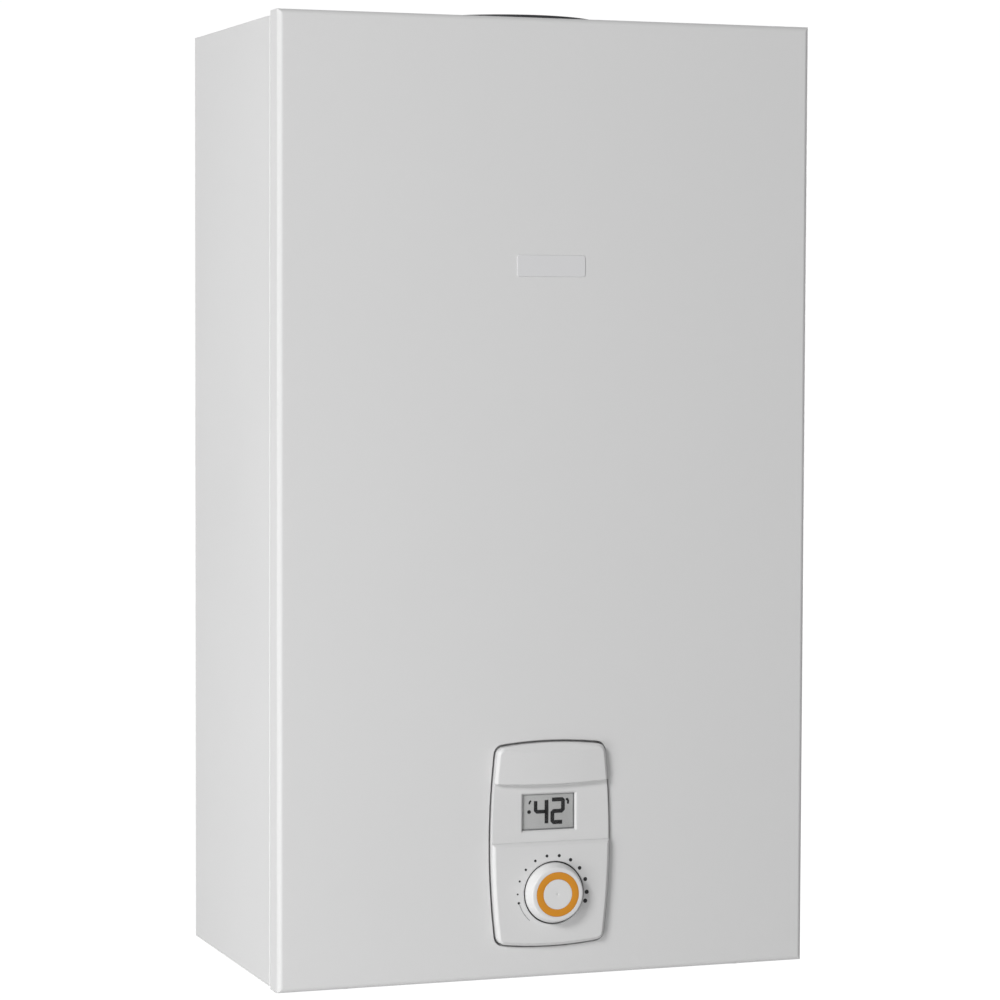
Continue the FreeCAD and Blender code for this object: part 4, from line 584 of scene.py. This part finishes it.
SHANK, SHANK_LENGTH, TIP, TIP_LENGTH = 1.9, 6.5, 0.95, 0.4
SCREW_HEAD, SCREW_CROWN, SCREW_TOP = 3.4, 2.6, 2.3
SCREW_EDGE, SCREW_HEIGHT = 0.2, 0.5
CROSS_LONG, CROSS_HALF, CROSS_DEPTH = 1.5, 0.4, 0.45
SCREW_SIDES = 32
ROOF_SEAT, FLOOR_SEAT = 547.4, 1.3
CASING_SCREWS = [(x, y) for x in (-154, 154) for y in (-140, -40)]
FRONT_SCREWS = [(-120, -177, 0), (120, -177, 0)]
RIVET_RADIUS, RIVET_RISE = 2.3, 0.9
# Each row of rivets: its y, its height and the places across
RIVET_ROWS = ((-163, 405.5, (-104, -40, 40, 104)), (-160, 221, (-102, -62, 62, 102)))


def low_screw():
    """A low-headed screw with a cross in its head, which stands on its seat and points down."""
    shape = bmesh.new()
    tip = Vector((TIP, -SHANK_LENGTH - TIP_LENGTH))
    profile = rounded([(SHANK, -SHANK_LENGTH), (SHANK, 0), (SCREW_HEAD, 0), (SCREW_HEAD, SCREW_EDGE),
                       (SCREW_CROWN, SCREW_HEIGHT), (SCREW_TOP, SCREW_HEIGHT)], 0.3, 3)
    angles = [2 * math.pi * number / SCREW_SIDES for number in range(SCREW_SIDES)]
    rings = [[shape.verts.new(Vector((point.x * math.cos(angle), point.x * math.sin(angle), point.y)) * MM)
              for angle in angles] for point in [tip] + profile]
    join_rings(shape, rings)
    shape.faces.new(rings[0])
    quarter = [(CROSS_LONG, -CROSS_HALF), (CROSS_LONG, CROSS_HALF), (CROSS_HALF, CROSS_HALF)]
    corners = [Matrix.Rotation(math.radians(90 * turn), 2) @ Vector(corner)
               for turn in range(4) for corner in quarter]
    loops = [[shape.verts.new(Vector((corner.x, corner.y, height)) * MM) for corner in corners]
             for height in (SCREW_HEIGHT, SCREW_HEIGHT - CROSS_DEPTH)]
    rim = [shape.edges.get(pair) for pair in neighbours(rings[-1])]
    cross = [shape.edges.new(pair) for pair in neighbours(loops[0])]
    bmesh.ops.triangle_fill(shape, use_beauty=True, edges=rim + cross)
    join_rings(shape, loops)
    shape.faces.new(loops[1])
    return bpy.data.objects.new("low_screw", from_bmesh("low_screw", shape))


def rivet():
    """A domed rivet's head, which stands on its seat."""
    shape = bmesh.new()
    bmesh.ops.create_uvsphere(shape, u_segments=24, v_segments=12, radius=1)
    for vert in shape.verts:
        rise = max(vert.co.z, -0.2)
        vert.co = Vector((vert.co.x * RIVET_RADIUS, vert.co.y * RIVET_RADIUS, rise * RIVET_RISE)) * MM
    return bpy.data.objects.new("rivet", from_bmesh("rivet", shape))


def set_out(fastener, places, turn):
    """A mesh of a fastener at each place, turned about the x axis."""
    points = bpy.data.meshes.new("places")
    points.from_pydata([at(*place) for place in places], [], [])
    return made_by(AT_PLACES, points, Fastener=fastener, Turn=turn, Finish=MATERIALS["screw_steel"])


def screws(name, body, replaces, rows):
    """Low screws in place of a node's, as rows of places with their heads up or turned over."""
    screw = low_screw()
    shape = bmesh.new()
    for places, turn in rows:
        shape.from_mesh(set_out(screw, places, turn))
    piece = shaped(name, shape, body, "screw_steel")
    soften(piece, 35)
    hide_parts(replaces)
    bpy.data.objects.remove(screw)


def rivets():
    """Rivets along the hood's skirt and along the top of the burner's frame."""
    head = rivet()
    places = [(x, y, h) for y, h, across in RIVET_ROWS for x in across]
    finished("shell_rivets", set_out(head, places, math.pi / 2), "chassis", "screw_steel")
    bpy.data.objects.remove(head)


screws("low_casing_screws", "chassis", "casing_screws", [
    ([(x, y, ROOF_SEAT) for x, y in CASING_SCREWS], 0.0),
    ([(x, y, FLOOR_SEAT) for x, y in CASING_SCREWS], math.pi)])
screws("low_front_screws", "front", "front_panel_screws", [(FRONT_SCREWS, math.pi)])


# Flue collar, connections, castings and badge

COLLAR_WALL = 1
RIM_DROP, RIM_WIDTH, RIM_HEIGHT = 0.75, 2.2, 2.4
THREAD_RADIUS, THREAD_PITCH, THREAD_TURNS, THREAD_RIDGE = 10.4, 1.814, 7.6, 0.4
THREAD_FOOT = -17.8
MOUTH_RADIUS, MOUTH_DEPTH = 7.4, 15
# The cutter starts a little under the mouth, with a cone for the mouth's bevel
BEVEL_WIDTH, BEVEL_DEPTH, CUTTER_START = 1.6, 0.6, 1
BADGE_CORNER = 1.9
# Each ring of the badge: how far it stands off the front, and how far it is drawn in
BADGE_RINGS = ((0, 0), (0.2, 0), (0.35, 0.25))


def collar():
    """The flue collar, with a rolled rim a little under the plain one's."""
    low, high = box("flue_collar")
    high.z -= RIM_DROP
    centre = ((low.x + high.x) / 2, (low.y + high.y) / 2)
    radius, foot, top = (high.x - low.x) / 2, low.z + HANG_HEIGHT, high.z + HANG_HEIGHT
    outside, wall, inside = radius - 0.05, radius - COLLAR_WALL, radius - RIM_WIDTH
    outline = rounded([(wall, foot), (outside, foot), (outside, top), (inside, top),
                       (inside, top - RIM_HEIGHT), (wall, top - RIM_HEIGHT - COLLAR_WALL), (wall, foot)], 1.1)
    piece = shaped("smooth_collar", turned(outline, centre, 128, True), "chassis", "flue_dark")
    soften(piece, 50)
    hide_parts("flue_collar")


def threads():
    """The half-inch pipe threads of the three connections under the casing."""
    tree = thread_tree()
    shape = bmesh.new()
    for x in CONNECTIONS.values():
        mesh = made_by(tree, bpy.data.meshes.new("start"), Radius=THREAD_RADIUS * MM, Pitch=THREAD_PITCH * MM,
                       Turns=THREAD_TURNS, Ridge=THREAD_RIDGE * MM, Finish=MATERIALS["brass"])
        mesh.transform(Matrix.Translation(at(x, CONNECTION_Y, THREAD_FOOT)))
        shape.from_mesh(mesh)
    piece = shaped("connection_threads", shape, "chassis", "brass")
    soften(piece, 35)


def merged_copy(name):
    """A copy of a node's mesh with its triangles joined."""
    shape = bmesh.new()
    shape.from_mesh(nodes[name].data)
    return from_bmesh(name + "_copy", shape)


def smooth_castings():
    """Turned and cast pieces behind the front, with their round sides shaded as round."""
    for name in ("water_valve_body", "flow_sensor_housing", "drain_plug", "union_nuts", "gas_valve_body",
                 "shut_off_coil", "overheat_thermostat", "spill_thermostat", "outlet_temperature_sensor",
                 "electrode_insulators", "injectors", "batteries"):
        piece = finished("smooth_" + name, merged_copy(name), "chassis", slot_of[name])
        soften(piece, 35)
        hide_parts(name)


def cut(solid, tool):
    """The mesh of a solid without what a tool takes away."""
    piece = bpy.data.objects.new("solid", solid)
    cutter = bpy.data.objects.new("tool", tool)
    for helper in (piece, cutter):
        bpy.context.scene.collection.objects.link(helper)
    opened = piece.modifiers.new("opened", "BOOLEAN")
    opened.object, opened.operation, opened.solver = cutter, "DIFFERENCE", "EXACT"
    ready = piece.evaluated_get(bpy.context.evaluated_depsgraph_get())
    mesh = bpy.data.meshes.new_from_object(ready)
    bpy.data.objects.remove(piece)
    bpy.data.objects.remove(cutter)
    return mesh


def open_mouths():
    """The three connections, each with the open end of a half-inch pipe."""
    for name, x in CONNECTIONS.items():
        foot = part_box(name)[0].z / MM + HANG_HEIGHT
        start, end = foot - CUTTER_START, foot + MOUTH_DEPTH
        profile = [(0, start), (MOUTH_RADIUS + BEVEL_WIDTH, start), (MOUTH_RADIUS, foot + BEVEL_DEPTH),
                   (MOUTH_RADIUS, end), (0, end)]
        bore = turned(profile, (x, CONNECTION_Y), 48, True)
        mesh = cut(merged_copy(name), from_bmesh("bore", bore))
        connection = finished("open_" + name, mesh, "chassis", "brass")
        soften(connection, 35)
        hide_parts(name)


def badge():
    """The bare plate on the front: thin, with round corners and an eased edge."""
    low, high = box("front_badge")
    middle = (low.x + high.x) / 2
    shape = bmesh.new()
    rings = []
    for depth, inset in BADGE_RINGS:
        left, right, foot, top = low.x + inset, high.x - inset, low.z + inset, high.z - inset
        line = rounded([(middle, foot), (right, foot), (right, top), (left, top), (left, foot),
                        (middle, foot)], BADGE_CORNER - inset)[:-1]
        rings.append([shape.verts.new(Vector((point.x, high.y - depth, point.y)) * MM) for point in line])
    join_rings(shape, rings)
    shape.faces.new(rings[0])
    shape.faces.new(rings[-1])
    piece = shaped("thin_badge", shape, "front", "bare_plate")
    soften(piece, 20)
    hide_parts("front_badge")


collar()
rivets()
threads()
smooth_castings()
open_mouths()
badge()


# Display

DISPLAY_FACE = -184.0
INK_DEPTH = 0.08
INK_GAP = 0.01
ARC_STEPS = 24
GLASS = 0.25 * MM
# The seal's width on the right and below, where it paints the recess's shade, and on the left and above
SHADE_SEAL_WIDE, SEAL_FINE = 0.5 * MM, 0.1 * MM
window_low, window_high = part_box("display_window")
DISPLAY_BACK = window_high.y - 0.02 * MM
# The display inside its grey seal, which is wider on the right and below as painted shade of the window's
# recess: its left, right, lower and upper edges
PANE = (window_low.x + SEAL_FINE, window_high.x - SHADE_SEAL_WIDE,
        window_low.z + SHADE_SEAL_WIDE, window_high.z - SEAL_FINE)


def stroke(shape, points, width, y):
    """A flat stroke with mitred turns and angled ends, printed on a face at y."""
    half = width / 2
    left, right = [], []
    line = [Vector(point) for point in points]
    for number, here in enumerate(line):
        way_in = (here - line[number - 1]).normalized() if number else None
        way_out = (line[number + 1] - here).normalized() if number < len(line) - 1 else None
        way = way_in or way_out
        along = (way + (way_out or way_in)).normalized()
        side = Vector((-along.y, along.x))
        spread = half / max(0.5, side.dot(Vector((-way.y, way.x))))
        left.append(here + side * spread)
        right.append(here - side * spread)
    top = y - INK_DEPTH
    for depth in (y, top):
        for a, b, c, d in zip(left, left[1:], right[1:], right):
            shape.faces.new([shape.verts.new(at(point.x, depth, point.y)) for point in (a, b, c, d)])
    for a, b in neighbours(left + right[::-1]):
        shape.faces.new([shape.verts.new(at(*place)) for place in
                         ((a.x, y, a.y), (b.x, y, b.y), (b.x, top, b.y), (a.x, top, a.y))])


def arc_points(centre, radius, start, end):
    """Points along an arc between two angles in degrees."""
    angles = [math.radians(start + (end - start) * number / ARC_STEPS) for number in range(ARC_STEPS + 1)]
    return [(centre[0] + radius * math.cos(angle), centre[1] + radius * math.sin(angle)) for angle in angles]


def display_figures():
    """Two figures, a degree mark and a small tap sign, as a segment display shows them."""
    shape = bmesh.new()
    for points, width in (
            ([(-7.45, 102.3), (-7.45, 96.9), (-6.55, 96.0), (-0.85, 96.0)], 2.1),
            ([(-0.75, 102.7), (-0.75, 89.1)], 2.3),
            ([(2.55, 102.7), (8.65, 102.7), (9.35, 102.0), (9.35, 97.1), (8.25, 96.0), (3.75, 96.0),
              (2.85, 95.1), (2.85, 90.5), (3.75, 89.6), (8.85, 89.6)], 2.3),
            ([(11.1, 102.5), (12.0, 102.6), (12.5, 101.7), (12.4, 99.9)], 1.25),
            ([(-10.35, 102.6), (-11.05, 101.8), (-11.45, 100.6)], 1.0),
            (arc_points((-11.45, 96.1), 0.55, 90, 450), 1.1)):
        stroke(shape, points, width, DISPLAY_FACE - INK_GAP)
    shaped("display_figures", shape, "chassis", "lcd", INK, False)


def slab(low, high, edge):
    """A bmesh of a slab between two corners, with eased edges."""
    shape = bmesh.new()
    bmesh.ops.create_cube(shape, size=1)
    for vert in shape.verts:
        vert.co = Vector([a if place < 0 else b for place, a, b in zip(vert.co, low, high)])
    bmesh.ops.bevel(shape, geom=shape.edges[:], offset=edge, segments=3, affect="EDGES", profile=0.5)
    return shape


def display_slab(left, right, foot, top, edge):
    """A bmesh of a slab from the display's face to its back, with eased edges."""
    return slab(Vector((left, DISPLAY_FACE * MM, foot)), Vector((right, DISPLAY_BACK, top)), edge)


def display_glass():
    """The clear window in front of the display."""
    glass = slab(window_low, Vector((window_high.x, window_low.y + GLASS, window_high.z)), 0.1 * MM)
    piece = shaped("display_glass", glass, "chassis", "window")
    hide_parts("display_window")


def display_face():
    """The grey display, close behind its window."""
    shaped("display_face", display_slab(*PANE, 0.04 * MM), "chassis", "lcd")


def display_seal():
    """The grey seal round the display, wider on the right and below, where it is painted shade of the
    window's recess walls.
    """
    low, high = window_low, window_high
    left, right, foot, top = PANE
    seal = bmesh.new()
    for bar in ((right, high.x, low.z, high.z), (low.x, right, low.z, foot),
                (low.x, left, foot, high.z), (left, right, top, high.z)):
        seal.from_mesh(from_bmesh("bar", display_slab(*bar, 0.02 * MM)))
    shaped("display_seal", seal, "chassis", "grey_plastic")


display_figures()
display_glass()
display_face()
display_seal()


# Knob and its dial

knob_low, knob_high = box("knob")
KNOB = ((knob_low.x + knob_high.x) / 2, (knob_low.z + knob_high.z) / 2 + HANG_HEIGHT)
KNOB_RADIUS = (knob_high.z - knob_low.z) / 2
KNOB_BACK, KNOB_FRONT = knob_high.y, knob_low.y
SPINDLE_HOLE, FACE_RADIUS = 3.05, 15.4
SKIRT, SKIRT_EASE, SHOULDER = 1.4, 0.2, 0.9
GROOVE_OUTSIDE, GROOVE_INSIDE, GROOVE_FLOOR = 12.95, 8.65, -194.0
RING_GAP = 0.05
# The dimple in the middle of the knob's face, as radius and depth
DIMPLE = ((1.1, 0), (0.75, 0.02), (0.45, 0.3), (0, 0.34))
# The black ring in the knob's recess, painted shade for the gap round the knob: its outer and inner radius
# and its thickness
SHADE_RING_OUTSIDE, SHADE_RING_INSIDE, SHADE_RING_THICKNESS = 18.25, 14, 0.2
FASCIA, RECESS = -188.2, -186.6
DIAL = (1.5, 49.9)
DOTS_RADIUS, DOT_DEPTH = 21.2, 0.04
LINE_RADIUS, LINE_WIDTH, LINE_START, LINE_END = 21.0, 0.36, 198, 229
# Each run of dots: its start and sweep in degrees, how many, and the radius of the first and of the last
DOT_RUNS = ((181, -184, 10, 0.55, 1.25), (195.1, -212.2, 2, 0.75, 1.25))


def knob():
    """The turned knob: a soft shoulder, a groove for the ring, and a flat face with a small dimple."""
    side = KNOB_RADIUS - 0.1
    outline = [Vector((SPINDLE_HOLE, KNOB_BACK))]
    outline += rounded([(KNOB_RADIUS - 0.5, KNOB_BACK), (side, KNOB_BACK - SKIRT_EASE),
                        (side, KNOB_BACK - SKIRT), (FACE_RADIUS, KNOB_FRONT),
                        (GROOVE_OUTSIDE, KNOB_FRONT)], SHOULDER, 8)
    outline += [Vector(corner) for corner in (
        (GROOVE_OUTSIDE, GROOVE_FLOOR), (GROOVE_INSIDE, GROOVE_FLOOR), (GROOVE_INSIDE, KNOB_FRONT),
        (8.3, KNOB_FRONT))]
    outline += [Vector((radius, KNOB_FRONT + depth)) for radius, depth in DIMPLE]
    piece = shaped("smooth_knob", turned(outline, KNOB, 128), "knob_unit", "knob_white")
    soften(piece, 50)
    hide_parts("knob")


def knob_ring():
    """The coloured ring, a little under the knob's face."""
    outside, inside, face = GROOVE_OUTSIDE - RING_GAP, GROOVE_INSIDE + RING_GAP, KNOB_FRONT + RING_GAP
    outline = rounded([(outside, GROOVE_FLOOR), (outside, face), (inside, face), (inside, GROOVE_FLOOR),
                       (outside, GROOVE_FLOOR)], 0.2, 3)
    ring = shaped("smooth_ring", turned(outline, KNOB, 128), "knob_unit", "orange")
    soften(ring, 50)
    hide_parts("knob_ring")


def knob_washer():
    """A black ring on the floor of the knob's recess, as painted shade that darkens the gap round the knob.
    """
    face = RECESS - SHADE_RING_THICKNESS
    outline = rounded([(SHADE_RING_INSIDE, RECESS), (SHADE_RING_OUTSIDE, RECESS), (SHADE_RING_OUTSIDE, face),
                       (SHADE_RING_INSIDE, face), (SHADE_RING_INSIDE, RECESS)], 0.05, 2)
    shaped("knob_washer", turned(outline, KNOB, 96), "chassis", "black_plastic")


def dial():
    """Ten dots round the knob with one more at each end, and a fine line from the first."""
    tree = dial_tree()
    upright = (Matrix.Translation(at(DIAL[0], FASCIA - 2 * INK_GAP, DIAL[1]))
               @ Matrix.Rotation(math.radians(90), 4, "X"))
    dots = bmesh.new()
    for start, sweep, count, first, last in DOT_RUNS:
        mesh = made_by(tree, bpy.data.meshes.new("start"), Radius=DOTS_RADIUS * MM, Start=math.radians(start),
                       Sweep=math.radians(sweep), Count=count, First_Size=first * MM, Last_Size=last * MM,
                       Depth=DOT_DEPTH * MM, Finish=INK)
        mesh.transform(upright)
        dots.from_mesh(mesh)
    shaped("dial_dots", dots, "chassis", "panel_white", INK, False)
    line = bmesh.new()
    stroke(line, arc_points(DIAL, LINE_RADIUS, LINE_START, LINE_END), LINE_WIDTH, FASCIA - INK_GAP)
    shaped("dial_line", line, "chassis", "panel_white", MATERIALS["grey_plastic"], False)


knob()
knob_ring()
knob_washer()
dial()


# Floor, light and camera

FLOOR = -2.0
WORLD_LIGHT, WORLD_SEEN = 0.22, 1.02
# Each light: the way to it from the heater's middle, its distance and size in metres, and its power in watts
LIGHTS = {
    "key_light": ((-0.71, -0.565, 0.42), 3.4, 0.9, 60),
    "low_light": ((-0.75, -0.57, -0.33), 1.25, 0.5, 3.6),
    "left_light": ((-0.78, 0.6, 0.05), 2.6, 1.2, 9),
    "front_light": ((0.45, -0.88, 0.1), 3.0, 1.4, 5.5),
    "far_side_light": ((0.75, 0.62, 0.25), 2.8, 2.0, 34),
}
# The camera that the casing's edges in the photograph fit, within a tenth of a pixel
EYE = (-672.54, -1989.74, 378.89)
YAW, PITCH, ROLL = 0.341918, -0.05368, 0.003904
FOCAL_PIXELS, PHOTO_PIXELS, SENSOR = 3368.67, 1000, 36


def stage():
    """A wide pale floor far under the heater, which glows for the camera alone."""
    shape = bmesh.new()
    bmesh.ops.create_grid(shape, x_segments=8, y_segments=8, size=30)
    for vert in shape.verts:
        vert.co.z = FLOOR
    mesh = bpy.data.meshes.new("floor")
    shape.to_mesh(mesh)
    shape.free()
    floor = bpy.data.objects.new("floor", mesh)
    bpy.context.scene.collection.objects.link(floor)
    pale = Finish("pale_floor")
    slow = pale.group(GRAIN, Place=pale.place, Slow_Scale=0.2)["Slow"]
    seen = pale.add("ShaderNodeLightPath").outputs["Is Camera Ray"]
    pale.look(Base_Color=colour_tint(pale.tree, (0.9, 0.9, 0.9, 1.0), slow, 0.004),
              Roughness=0.9, Emission_Color=(1.0, 1.0, 1.0, 1.0),
              Emission_Strength=between(pale.tree, seen, 0.0, 0.85))
    mesh.materials.append(pale.material)


def lamp(name, place, target, size, energy):
    """A square soft light that faces a target."""
    data = bpy.data.lights.new(name, "AREA")
    data.shape = "RECTANGLE"
    data.size = data.size_y = size
    data.energy = energy
    light = bpy.data.objects.new(name, data)
    bpy.context.scene.collection.objects.link(light)
    light.visible_camera = False
    light.location = place
    light.rotation_euler = (Vector(target) - Vector(place)).to_track_quat("-Z", "Y").to_euler()


def lights():
    """A pale room, brighter to the camera than to the heater, and five soft lights."""
    world = bpy.data.worlds.new("pale_room")
    bpy.context.scene.world = world
    world.use_nodes = True
    tree = world.node_tree
    seen = new_node(tree, "ShaderNodeLightPath").outputs["Is Camera Ray"]
    feed(tree, tree.nodes["Background"], {
        "Strength": between(tree, seen, WORLD_LIGHT, WORLD_SEEN), "Color": (1.0, 1.0, 1.0, 1.0)})
    middle = (cad_low + cad_high) / 2
    for name, (way, distance, size, energy) in LIGHTS.items():
        lamp(name, middle + distance * Vector(way), middle, size, energy)


def camera():
    """The camera, from where it stands, its turns and its focal length."""
    ahead = Vector((math.sin(YAW) * math.cos(PITCH), math.cos(YAW) * math.cos(PITCH), math.sin(PITCH)))
    level = Vector((math.cos(YAW), -math.sin(YAW), 0))
    up = level.cross(ahead)
    right = math.cos(ROLL) * level + math.sin(ROLL) * up
    top = -math.sin(ROLL) * level + math.cos(ROLL) * up
    data = bpy.data.cameras.new("camera")
    data.sensor_width = SENSOR
    data.lens = FOCAL_PIXELS / PHOTO_PIXELS * SENSOR
    data.clip_start, data.clip_end = 0.05, 200
    eye = bpy.data.objects.new("camera", data)
    bpy.context.scene.collection.objects.link(eye)
    turn = Matrix((right, top, -ahead)).transposed().to_4x4()
    eye.matrix_world = Matrix.Translation(at(*EYE)) @ turn
    bpy.context.scene.camera = eye


stage()
lights()
camera()
bpy.context.scene.view_settings.view_transform = "Standard"
